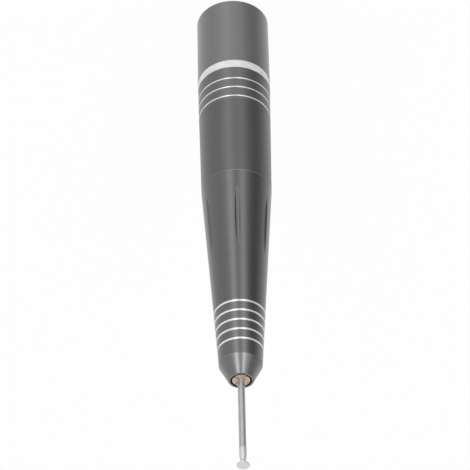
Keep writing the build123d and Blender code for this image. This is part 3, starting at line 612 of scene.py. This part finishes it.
def circuit_board(name):
    """Green lacquer over copper lines, with bare pads here and there."""
    board = Finish(name)
    line_pitch = 0.8 * mm
    line_inner, line_outer = 0.14 * mm, 0.18 * mm
    copper_height = 0.03 * mm
    crosswise = ((board.x % line_pitch) - line_pitch / 2).size().rise(line_outer, line_inner)
    lengthwise = ((board.y % line_pitch) - line_pitch / 2).size().rise(line_outer, line_inner)
    patch = board.noise(2.4 * mm, 2.4 * mm, 0.0).rise(0.49, 0.51)
    lines = crosswise * patch + lengthwise * (1 - patch)
    pads = board.noise(0.9 * mm, 0.9 * mm, 0.0).rise(0.68, 0.69)
    lacquer = board.mix(lines, tone(14, 84, 52), tone(38, 118, 72))
    return board.done(
        Base_Color=board.mix(pads, lacquer, tone(205, 190, 140)),
        Metallic=pads,
        Roughness=0.32,
        Normal=board.bump(lines.at_least(pads) * copper_height),
    )


black_plastic = moulded("black_plastic", tone(36, 36, 38), tone(46, 46, 48), 0.4)
white_plastic = moulded("white_plastic", tone(224, 223, 218), tone(236, 235, 231), 0.38)
brass = machined("brass", tone(196, 160, 92), tone(214, 180, 112), 0.22)
spring_steel = machined("spring_steel", tone(160, 160, 162), tone(196, 196, 198), 0.24, 0.5 * mm, 0.5 * mm)
board_green = circuit_board("board_green")
dress(black_rubber, "button_seal")
dress(white_plastic, "switch_plunger")
dress(spring_steel, "button_spring", "battery_spring")
dress(black_plastic, "switch_housing", "switch_core")
dress(board_green, "switch_board")
dress(brass, "switch_ring")


# Thread collar. One bright turned piece: a plain band that shows between cap and barrel, a spigot
# glued into the barrel, and the outside thread that the cap screws onto, with a groove for a seal.
collar_low, collar_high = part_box("thread_collar")
band_low_z = cap_end.z
band_high_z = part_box("barrel")[0].z
band_edge = 0.15 * mm
collar_bore_radius = 9.5 * mm
spigot_radius = 11.2 * mm
thread_root_radius = 11.0 * mm
thread_crest_radius = 11.6 * mm
thread_lead_ease = 0.2 * mm
thread_foot_width = 1.1 * mm
thread_tip_width = 0.5 * mm
thread_tip_ease = 0.08 * mm
thread_embed = 0.2 * mm
thread_pitch = 1.5 * mm
thread_turns = 3.5
segments_each_turn = 96
seal_low, seal_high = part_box("o_ring")
seal_gap = 0.1 * mm
seal_groove_radius = 10.58 * mm

bare = Finish("bare_metal")
turning_pitch = 0.22 * mm
turning_depth = 0.0025 * mm
band_mark_depth = 0.003 * mm
turning = ((bare.z % turning_pitch) - turning_pitch / 2).size() / (turning_pitch / 2)
band_marks = bare.noise(2.2 * mm, 0.16 * mm)
band_patches = bare.noise(2.6 * mm, 1.3 * mm).rise(0.3, 0.7)
bare_metal = bare.done(
    Base_Color=bare.mix(band_marks * 0.5 + band_patches * 0.5, tone(218, 219, 220), tone(248, 248, 248)),
    Metallic=0.6,
    Roughness=0.6 + 0.2 * band_marks,
    Normal=bare.bump(turning * turning_depth + band_marks * band_mark_depth),
)
collar_core = turned(
    "collar_core",
    (
        (collar_bore_radius, collar_low.z),
        (thread_root_radius, collar_low.z, thread_lead_ease),
        (thread_root_radius, seal_low.z - seal_gap - thread_foot_width / 2),
        (thread_crest_radius, seal_low.z - seal_gap - thread_foot_width / 2),
        (thread_crest_radius, seal_low.z - seal_gap),
        (seal_groove_radius, seal_low.z - seal_gap),
        (seal_groove_radius, seal_high.z + seal_gap),
        (thread_crest_radius, seal_high.z + seal_gap),
        (thread_crest_radius, band_low_z),
        (collar_high.x - band_edge, band_low_z),
        (collar_high.x, band_low_z + band_edge),
        (collar_high.x, band_high_z - band_edge),
        (collar_high.x - band_edge, band_high_z),
        (spigot_radius, band_high_z),
        (spigot_radius, collar_high.z),
        (collar_bore_radius, collar_high.z),
    ),
    bare_metal,
    ease=0.04 * mm,
)
install(collar_core, "barrel", "bare_metal", "thread_collar")

thread_inputs = ("Turns", "Pitch", "Root", "Start")
thread = new_shape(
    "thread", (("Segments", "Int"), *((label, "Float") for label in thread_inputs), ("Finish", "Material"))
)
nodes = Nodes(thread)
given = nodes.add("NodeGroupInput")
sheet, step, section_radius, section_height = drawn_grid(nodes, given, 1)
turns_done = step / given["Segments"] * given["Turns"]
run_out_turns = 0.12
fullness = (turns_done / run_out_turns).at_most((given["Turns"] - turns_done) / run_out_turns).at_most(1)
ridge_radius = given["Root"] + (section_radius - given["Root"]) * fullness
ridge_height = given["Start"] + turns_done * given["Pitch"] + section_height * fullness
close_shape(nodes, placed(nodes, sheet, ridge_radius, turns_done * math.tau, ridge_height), given["Finish"])
flank_slope = (thread_foot_width - thread_tip_width) / (2 * (thread_crest_radius - thread_root_radius))
sunk_half_width = thread_foot_width / 2 + thread_embed * flank_slope
ridge_corners = (
    (thread_root_radius - thread_embed, -sunk_half_width, 0),
    (thread_crest_radius, -thread_tip_width / 2, thread_tip_ease),
    (thread_crest_radius, thread_tip_width / 2, thread_tip_ease),
    (thread_root_radius - thread_embed, sunk_half_width, 0),
)
collar_thread = shape(
    drawn("collar_thread", eased(ridge_corners, 0, True)),
    thread,
    Segments=int(segments_each_turn * thread_turns),
    Turns=thread_turns,
    Pitch=thread_pitch,
    Root=thread_root_radius - thread_embed,
    Start=collar_low.z + thread_foot_width,
    Finish=bare_metal,
)
install(collar_thread, "barrel", "bare_metal", "thread_collar")
dress(black_rubber, "o_ring")


# Barrel. A slightly tapered tube, bead blasted and anodised dark grey. Three grooves are cut through
# the finish near its tail, and the fine feed marks of the turning still show about them.
barrel_low, barrel_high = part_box("barrel")
barrel_front_radius = 12.3 * mm
barrel_bore_radius = 10.3 * mm
spigot_length = 7.0 * mm
spigot_fit = 0.02 * mm
seam_z = barrel_high.z
seam_edge = 0.12 * mm
seam_highlight_fade = 0.04 * mm
rear_groove_count = 3
rear_groove_offset = 5.4 * mm
rear_groove_pitch = 4.24 * mm
rear_groove_width = 0.42 * mm
rear_feed_past_grooves = 1.2 * mm
groove_flank_width = 0.06 * mm
groove_depth = 0.14 * mm
groove_ease = 0.02 * mm
groove_film = 0.35
cut_reach, cut_fade = 0.02 * mm, 0.06 * mm
feed_pitch = 0.8 * mm
feed_fade = 0.3 * mm
feed_depth = 0.006 * mm
blast_depth = 0.0015 * mm
streak_depth = 0.0008 * mm
rear_grooves = [
    barrel_low.z + rear_groove_offset + number * rear_groove_pitch for number in range(rear_groove_count)
]


def barrel_radius(height):
    """The outer radius of the barrel at a height."""
    along = (height - barrel_low.z) / (barrel_high.z - barrel_low.z)
    return collar_high.x + (barrel_front_radius - collar_high.x) * along


def grooved(radius_at, heights, width):
    """The corners of grooves in a wall, from its low end to its high end."""
    corners = []
    for height in heights:
        floor_radius = radius_at(height) - groove_depth
        below, above = height - width / 2, height + width / 2
        corners += [
            (radius_at(below), below, groove_ease),
            (floor_radius, below + groove_flank_width, groove_ease),
            (floor_radius, above - groove_flank_width, groove_ease),
            (radius_at(above), above, groove_ease),
        ]
    return corners


def dark_shell(name, dark, light, edge, gloss, grooves, width, feed_from, feed_to):
    """Anodised grey metal with bright filmed grooves, a painted highlight along the seam for the light off
    its chamfers, and feed marks between two heights.
    """
    shell = Finish(name)
    pitch = grooves[1] - grooves[0]
    off_groove = ((shell.z - grooves[0] + pitch / 2) % pitch - pitch / 2).size()
    cut = off_groove.rise(width / 2 + cut_reach + cut_fade, width / 2 + cut_reach)
    cut = cut * shell.z.is_over(grooves[0] - pitch / 2) * (1 - shell.z.is_over(grooves[-1] + pitch / 2))
    # Painted highlight: a pale band on both sides of the seam stands in for the light off its chamfers.
    seam_highlight = (shell.z - seam_z).size().rise(seam_edge + seam_highlight_fade, seam_edge)
    feed = 0.5 + 0.5 * (shell.z * (math.tau / feed_pitch)).sine()
    feed = feed * shell.z.rise(feed_from - feed_fade, feed_from) * shell.z.rise(feed_to + feed_fade, feed_to)
    blast = shell.noise(0.12 * mm, 0.12 * mm, 1.0)
    cloud = shell.noise(12.0 * mm, 1.2 * mm)
    streak = shell.noise(5.0 * mm, 0.12 * mm)
    anodised = shell.mix(cloud * 0.6 + streak * 0.4, dark, light)
    anodised = shell.mix(feed, anodised, tone(124, 124, 125))
    # The seam's painted highlight is mixed in here.
    anodised = shell.mix(seam_highlight, anodised, tone(142, 142, 142))
    bright = shell.mix(streak, tone(238, 238, 239), tone(252, 252, 252))
    height = (feed * feed_depth + blast * blast_depth + streak * streak_depth) * (1 - cut)
    return shell.done(
        Base_Color=shell.mix(cut, anodised, bright),
        Metallic=1 - groove_film * cut,
        Roughness=(gloss + 0.06 * blast) * (1 - cut) + (0.07 + 0.08 * streak) * cut,
        Specular_Tint=edge,
        Normal=shell.bump(height),
    )


barrel_metal = dark_shell(
    "dark_anodised_barrel",
    tone(104, 104, 105),
    tone(116, 116, 117),
    tone(255, 255, 255),
    0.36,
    rear_grooves,
    rear_groove_width,
    barrel_low.z,
    rear_grooves[-1] + rear_feed_past_grooves,
)
barrel = turned(
    "barrel_shell",
    (
        (spigot_radius + spigot_fit, barrel_low.z),
        (collar_high.x - band_edge, barrel_low.z),
        (collar_high.x, barrel_low.z + band_edge),
        *grooved(barrel_radius, rear_grooves, rear_groove_width),
        (barrel_front_radius, barrel_high.z - seam_edge),
        (barrel_front_radius - seam_edge, barrel_high.z),
        (spigot_radius + spigot_fit, barrel_high.z),
        (spigot_radius + spigot_fit, barrel_high.z - spigot_length),
        (barrel_bore_radius, barrel_high.z - spigot_length),
        (barrel_bore_radius, collar_high.z),
        (spigot_radius + spigot_fit, collar_high.z),
    ),
    barrel_metal,
    ease=0.05 * mm,
)
install(barrel, "barrel", "dark_anodised", "barrel")
dress(black_plastic, "cell_liner")


# Cell. A rechargeable steel can with its wound electrodes, a gasket and a raised terminal, in a
# shrunk film. It stands on the battery spring and backs out of the barrel with the cap.
motor_steel = machined("motor_steel", tone(176, 177, 179), tone(200, 200, 202), 0.26, 3.0 * mm, 3.0 * mm)
cell_foil = machined("cell_foil", tone(150, 150, 150), tone(200, 188, 172), 0.3, 0.2 * mm, 4.0 * mm)
film_ripple_depth = 0.05 * mm
film = Finish("cell_wrap")
film_ripple = film.noise(4.0 * mm, 9.0 * mm)
cell_wrap = film.done(
    Base_Color=film.mix(film_ripple, tone(78, 130, 168), tone(92, 146, 184)),
    Roughness=0.22 + 0.12 * film_ripple,
    Coat_Weight=0.4,
    Normal=film.bump(film_ripple * film_ripple_depth),
)
dress(motor_steel, "cell_can", "cell_terminal")
dress(cell_foil, "cell_roll")
dress(cell_wrap, "cell_wrap")
dress(white_plastic, "cell_gasket")


# Driver board. A round board screwed up against its brass ring, with its chips and choke on one side
# and a sprung brass contact for the cell on the other.
dress(brass, "board_ring", "positive_contact")
dress(board_green, "driver_board")
dress(black_plastic, "driver_parts")


# Motor. A plated can with two magnets, in a plastic carrier held by two socket screws; inside turn
# the iron core with its enamelled windings and the commutator, between two sintered bushes.
core_iron = machined("core_iron", tone(140, 140, 142), tone(182, 182, 184), 0.4, 3.0 * mm, 0.35 * mm)
magnet = machined("magnet", tone(86, 86, 89), tone(108, 108, 111), 0.55, 0.3 * mm, 0.3 * mm)
copper_wire = machined("copper_wire", tone(192, 112, 70), tone(222, 146, 98), 0.2, 0.25 * mm, 2.0 * mm)
red_wire = moulded("red_wire", tone(176, 36, 30), tone(198, 48, 40), 0.36)
dress(brass, "motor_ring", "motor_rear_bush", "motor_front_bush", "motor_terminals")
dress(black_plastic, "motor_carrier")
dress(motor_steel, "motor_screws", "motor_can")
dress(white_plastic, "motor_end_bell")
dress(magnet, "motor_magnets")
dress(copper_wire, "motor_brushes", "commutator", "armature_windings")
dress(core_iron, "armature_core")
dress(red_wire, "motor_leads")


# Coupling, spindle and bearings. A slit coupling joins the motor's shaft to the ground spindle, which
# runs in two small ball bearings, held by a circlip and a wave washer and clamped by a slotted nut.
tool_steel = machined("tool_steel", tone(178, 178, 179), tone(202, 202, 203), 0.2, 3.0 * mm, 0.1 * mm)
bearing_steel = machined("bearing_steel", tone(214, 214, 217), tone(232, 232, 235), 0.1, 3.0 * mm, 0.1 * mm)
dress(bare_metal, "shaft_coupling")
dress(tool_steel, "motor_shaft", "coupling_screws", "spindle", "spindle_nut")
dress(bearing_steel, "rear_bearing_outer", "rear_bearing_inner", "rear_bearing_balls")
dress(bearing_steel, "front_bearing_outer", "front_bearing_inner", "front_bearing_balls")
dress(brass, "rear_bearing_cage", "front_bearing_cage")
dress(spring_steel, "bearing_circlip", "preload_washer")


# Front grip. A long cone of the barrel's metal, bored for the motor, the bearings and the nose. Six
# flutes are milled along it for the fingers, and five bright grooves are turned near its front.
grip_low, grip_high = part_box("front_grip")
nose_low, nose_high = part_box("nose_cap")
grip_front_radius = nose_high.x
nose_bore_radius = 6.02 * mm
motor_bore_radius = 8.49 * mm
bearing_seat_radius = 5.52 * mm
bearing_lip_radius = 4.6 * mm
flute_count = 6
flute_length = 25.3 * mm
flute_depth = 0.5 * mm
flute_cutter_radius = 1.25 * mm
flute_centre_z = seam_z + 19.55 * mm
flute_rings = 56
flute_wall_margin = 0.05 * mm
flute_least_half_width = 0.12 * mm
flute_edge_width = 0.07 * mm
front_groove_count = 5
front_groove_offset = 5.5 * mm
front_groove_pitch = 3.76 * mm
front_groove_width = 0.62 * mm
front_feed_before_grooves = 0.6 * mm
front_feed_to_nose = 0.4 * mm
front_grooves = [
    grip_high.z - front_groove_offset - number * front_groove_pitch
    for number in reversed(range(front_groove_count))
]
grip_slope = (barrel_front_radius - grip_front_radius) / (grip_high.z - seam_z)


def grip_radius(height):
    """The outer radius of the grip at a height."""
    return barrel_front_radius - (height - seam_z) * grip_slope


flute_inputs = ("Depth", "Length", "Cutter", "Centre", "Radius", "Slope")
flute_sizes = ((label, "Float") for label in flute_inputs)
flutes = new_shape("flutes", (("Count", "Int"), ("Columns", "Int"), *flute_sizes, ("Finish", "Material")))
nodes = Nodes(flutes)
given = nodes.add("NodeGroupInput")
spot = nodes.add("ShaderNodeSeparateXYZ", {}, {0: nodes.add("GeometryNodeInputPosition")["Position"]})
radius = (spot["X"] * spot["X"] + spot["Y"] * spot["Y"]).root()
turn = spot["Y"].angle_over(spot["X"])
along = spot["Z"] - given["Centre"]
in_wall = radius.is_over(given["Radius"] - given["Slope"] * along - flute_wall_margin)
sweep_radius = given["Length"] * given["Length"] / (8 * given["Depth"])
depth = ((given["Depth"] - along * along / (2 * sweep_radius)) * in_wall).at_least(0)
reach = radius + given["Cutter"] - depth
edge_cosine = (radius * radius + reach * reach - given["Cutter"] * given["Cutter"]) / (2 * radius * reach)
least_half_angle = flute_least_half_width / given["Radius"]
half_angle = edge_cosine.at_most(1).angle_of_cosine().at_least(least_half_angle)
columns_each = given["Columns"] / given["Count"]
column = (turn / math.tau * given["Columns"] + 0.5).rounded_down() % columns_each - columns_each / 2
columns_aside = column.size()
columns_inside = 6
edge_angle = flute_edge_width / given["Radius"]
inside = half_angle * (columns_aside / columns_inside).at_most(1)
edge = edge_angle * (columns_aside - columns_inside).at_least(0).at_most(1)
left_over = math.pi / given["Count"] - half_angle - edge_angle
columns_outside = columns_each / 2 - columns_inside - 1
outside = left_over * (columns_aside - columns_inside - 1).at_least(0) / columns_outside
offset = inside + edge + outside
lift = reach * offset.sine()
milled = reach * offset.cosine() - (given["Cutter"] * given["Cutter"] - lift * lift).at_least(0).root()
is_milled = depth.is_over(0) * (1 - columns_aside.is_over(columns_inside - 0.5))
milled_radius = radius + (milled.at_most(radius) - radius) * is_milled
milled_turn = turn - column / given["Columns"] * math.tau + offset * column.sign()
milled_wall = placed(nodes, given["Geometry"], milled_radius, milled_turn, spot["Z"])
close_shape(nodes, milled_wall, given["Finish"], crisp=math.radians(65))

flute_heights = [
    flute_centre_z - flute_length / 2 * math.cos(math.pi * ring / flute_rings)
    for ring in range(flute_rings + 1)
]
front_bearing_low_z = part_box("front_bearing_outer")[0].z
washer_high_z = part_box("preload_washer")[1].z
circlip_low, circlip_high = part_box("bearing_circlip")
circlip_fit = 0.05 * mm
carrier_high_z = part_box("motor_carrier")[1].z
board_shelf_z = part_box("driver_board")[1].z
grip_metal = dark_shell(
    "dark_anodised_grip",
    tone(106, 106, 107),
    tone(118, 118, 119),
    tone(243, 243, 243),
    0.25,
    front_grooves,
    front_groove_width,
    front_grooves[0] - front_feed_before_grooves,
    grip_high.z - front_feed_to_nose,
)
grip_columns = 240
grip = turned(
    "grip_shell",
    (
        (barrel_bore_radius, grip_low.z),
        (spigot_radius, grip_low.z),
        (spigot_radius, seam_z),
        (barrel_front_radius - seam_edge, seam_z),
        (barrel_front_radius, seam_z + seam_edge),
        *((grip_radius(height), height, 0) for height in flute_heights),
        *grooved(grip_radius, front_grooves, front_groove_width),
        (grip_front_radius, grip_high.z),
        (nose_bore_radius, grip_high.z),
        (nose_bore_radius, nose_low.z),
        (bearing_seat_radius, nose_low.z),
        (bearing_seat_radius, front_bearing_low_z),
        (bearing_lip_radius, front_bearing_low_z),
        (bearing_lip_radius, washer_high_z),
        (bearing_seat_radius, washer_high_z),
        (bearing_seat_radius, circlip_high.z + circlip_fit),
        (circlip_high.x, circlip_high.z + circlip_fit),
        (circlip_high.x, circlip_low.z - circlip_fit),
        (bearing_seat_radius, circlip_low.z - circlip_fit),
        (bearing_seat_radius, carrier_high_z),
        (motor_bore_radius, carrier_high_z),
        (motor_bore_radius, board_shelf_z),
        (barrel_bore_radius, board_shelf_z),
    ),
    grip_metal,
    ease=0.05 * mm,
    segments=grip_columns,
)
shape(
    grip,
    flutes,
    Count=flute_count,
    Columns=grip_columns,
    Depth=flute_depth,
    Length=flute_length,
    Cutter=flute_cutter_radius,
    Centre=flute_centre_z,
    Radius=grip_radius(flute_centre_z),
    Slope=grip_slope,
    Finish=grip_metal,
)
install(grip, "barrel", "dark_anodised", "front_grip")


# Nose cap. A short cone with a spigot in the grip, turned with a finer tool and anodised with more
# gloss than the grip. A rubber ring in its mouth keeps dust out of the front bearing.
nose_face_radius = 4.23 * mm
nose_land = 0.45 * mm
nose_hole_radius = 3.6 * mm
nose_inner_radius = 4.7 * mm
nose_spigot_radius = 6.0 * mm
nose_wall = 3.4 * mm
nose_rim_from, nose_rim_to = nose_high.z - 0.3 * mm, nose_high.z - 0.1 * mm
nose_ring_depth = 0.0015 * mm

nose_finish = Finish("nose_metal")
nose_rings = nose_finish.noise(5.0 * mm, 0.1 * mm)
nose_cloud = nose_finish.noise(3.0 * mm, 1.5 * mm)
nose_rim = nose_finish.z.rise(nose_rim_from, nose_rim_to)
nose_colour = nose_finish.mix(nose_cloud, tone(130, 133, 137), tone(143, 141, 140))
nose_metal = nose_finish.done(
    Base_Color=nose_finish.mix(nose_rim, nose_colour, tone(128, 126, 123)),
    Metallic=1.0,
    Roughness=0.11 + 0.08 * nose_rings,
    Specular_Tint=tone(222, 222, 222),
    Normal=nose_finish.bump(nose_rings * nose_ring_depth),
)
nose = turned(
    "nose_shell",
    (
        (nose_inner_radius, nose_low.z),
        (nose_spigot_radius, nose_low.z),
        (nose_spigot_radius, grip_high.z),
        (grip_front_radius, grip_high.z),
        (grip_radius(grip_high.z + nose_land), grip_high.z + nose_land),
        (nose_face_radius, nose_high.z),
        (nose_hole_radius, nose_high.z),
        (nose_hole_radius, nose_high.z - nose_wall),
        (nose_inner_radius, nose_high.z - nose_wall),
    ),
    nose_metal,
)
install(nose, "barrel", "nose_metal", "nose_cap")

lip_low, lip_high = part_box("nose_seal")
lip_bore_radius = 3.05 * mm
lip_step_height = 0.8 * mm
lip_step_z = lip_low.z + lip_step_height
lip = turned(
    "nose_lip_seal",
    (
        (lip_bore_radius, lip_low.z),
        (lip_high.x, lip_low.z),
        (lip_high.x, lip_step_z),
        (nose_hole_radius - spigot_fit, lip_step_z),
        (nose_hole_radius - spigot_fit, lip_high.z),
        (lip_bore_radius, lip_high.z),
    ),
    black_rubber,
    segments=128,
)
install(lip, "barrel", "black_rubber", "nose_seal")


# Collet. A copper-coloured spring chuck, drilled for the shank and sawn crosswise into four jaws,
# which the spindle's bore squeezes together. It shows a little wear where bits have been changed.
collet_low, collet_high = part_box("collet")
collet_tail_radius = 1.88 * mm
collet_chamfer = 0.12 * mm
collet_hole_radius = 1.195 * mm
collet_slot_width = 0.25 * mm
collet_slot_length = 10.4 * mm
copper_ring_depth = 0.002 * mm
spindle_end_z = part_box("spindle")[1].z
bit_low, bit_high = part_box("engraving_bit")
bit_end_gap = 0.5 * mm

saw = new_shape("saw", (("Top", "Float"), ("Blade", "Vector"), ("Finish", "Material")))
nodes = Nodes(saw)
given = nodes.add("NodeGroupInput")
blade = nodes.add("GeometryNodeMeshCube", {}, {"Size": given["Blade"]})["Mesh"]
blade_place = nodes.add("ShaderNodeCombineXYZ", {}, {"Z": given["Top"]})["Vector"]
sawn = given["Geometry"]
for slot_turn in (math.pi / 4, -math.pi / 4):
    set_blade = {"Geometry": blade, "Translation": blade_place, "Rotation": (0, 0, slot_turn)}
    turned_blade = nodes.add("GeometryNodeTransform", {}, set_blade)[0]
    stock_and_blade = {0: sawn, 1: turned_blade}
    sawn = nodes.add("GeometryNodeMeshBoolean", {"operation": "DIFFERENCE"}, stock_and_blade)["Mesh"]
close_shape(nodes, sawn, given["Finish"], crisp=math.radians(40))

copper = Finish("collet_copper")
copper_rings = copper.noise(1.5 * mm, 0.08 * mm)
copper_stain = copper.noise(0.9 * mm, 0.9 * mm).rise(0.5, 0.72)
copper_colour = copper.mix(copper_rings, tone(196, 178, 163), tone(222, 206, 191))
collet_copper = copper.done(
    Base_Color=copper.mix(copper_stain * 0.7, copper_colour, tone(132, 98, 74)),
    Metallic=1.0,
    Roughness=0.56 + 0.1 * copper_stain,
    Normal=copper.bump(copper_rings * copper_ring_depth),
)
collet = turned(
    "collet_jaws",
    (
        (0, collet_low.z),
        (collet_tail_radius, collet_low.z),
        (collet_tail_radius, spindle_end_z),
        (collet_high.x, spindle_end_z),
        (collet_high.x, collet_high.z - collet_chamfer),
        (collet_high.x - collet_chamfer, collet_high.z),
        (collet_hole_radius, collet_high.z),
        (collet_hole_radius, bit_low.z - bit_end_gap),
        (0, bit_low.z - bit_end_gap),
    ),
    collet_copper,
    ease=0.04 * mm,
    segments=128,
)
blade_reach = collet_high.x * 2.6
shape(
    collet,
    saw,
    Top=collet_high.z,
    Blade=(blade_reach, collet_slot_width, collet_slot_length * 2),
    Finish=collet_copper,
)
install(collet, "spindle", "collet_copper", "collet")


# Engraving bit. A ground steel shank, painted lighter above the jaws that grip it as painted light against
# the shade there, with a collar and a small disc at its end that are plated with fine grit. It slides out of
# the collet.
shank_radius = 1.175 * mm
bit_collar_radius = 1.25 * mm
bit_collar_low_z = bit_high.z - 7.4 * mm
bit_collar_high_z = bit_high.z - 3.9 * mm
bit_neck_radius = 0.95 * mm
bit_neck_z = bit_high.z - 2.2 * mm
bit_flare_radius = 1.25 * mm
collar_foot_ease = 0.5 * mm
collar_top_ease = 0.4 * mm
bit_neck_ease = 0.8 * mm
bit_flare_ease = 0.1 * mm
collar_foot_rise = 0.1 * mm
disc_thickness = 0.5 * mm
disc_edge = 0.12 * mm
disc_z = bit_high.z - disc_thickness
plated_from, plated_to = bit_collar_low_z - 0.4 * mm, bit_collar_low_z + 1.6 * mm
# Heights over which the shank is painted lighter near the collet's face, as painted light against the shade
# there.
jaw_light_from, jaw_light_to = collet_high.z + 1.0 * mm, collet_high.z + 3.5 * mm
grinding_depth = 0.001 * mm
grit_depth = 0.03 * mm

bit_finish = Finish("bit_steel")
plated = bit_finish.z.rise(plated_from, plated_to)
grit = bit_finish.noise(0.07 * mm, 0.07 * mm, 3.0)
grinding = bit_finish.noise(1.5 * mm, 0.06 * mm)
# Painted light: the shank's colour is brighter near the collet's face, to stand against the shade that falls
# on it there.
painted_light_near_jaws = bit_finish.z.rise(jaw_light_to, jaw_light_from)
ground_colour = bit_finish.mix(grinding, tone(178, 178, 179), tone(192, 192, 193))
shank_colour = bit_finish.mix(painted_light_near_jaws, ground_colour, tone(222, 222, 223))
plated_colour = bit_finish.mix(grit, tone(194, 194, 193), tone(243, 243, 241))
bit_steel = bit_finish.done(
    Base_Color=bit_finish.mix(plated, shank_colour, plated_colour),
    Metallic=1.0,
    Roughness=0.36 + 0.08 * grinding + plated * 0.06,
    Specular_Tint=tone(244, 244, 244),
    Normal=bit_finish.bump(grinding * grinding_depth * (1 - plated) + grit * plated * grit_depth),
)
bit = turned(
    "bit_with_disc",
    (
        (0, bit_low.z),
        (shank_radius, bit_low.z),
        (shank_radius, bit_collar_low_z),
        (bit_collar_radius, bit_collar_low_z + collar_foot_rise, collar_foot_ease),
        (bit_collar_radius, bit_collar_high_z, collar_top_ease),
        (bit_neck_radius, bit_neck_z, bit_neck_ease),
        (bit_flare_radius, disc_z, bit_flare_ease),
        (bit_high.x - disc_edge, disc_z),
        (bit_high.x, disc_z + disc_edge),
        (bit_high.x, bit_high.z - disc_edge),
        (bit_high.x - disc_edge, bit_high.z),
        (0, bit_high.z),
    ),
    bit_steel,
    ease=0.05 * mm,
    segments=96,
)
install(bit, "bit", "tool_steel", "engraving_bit")

bpy.context.view_layer.update()
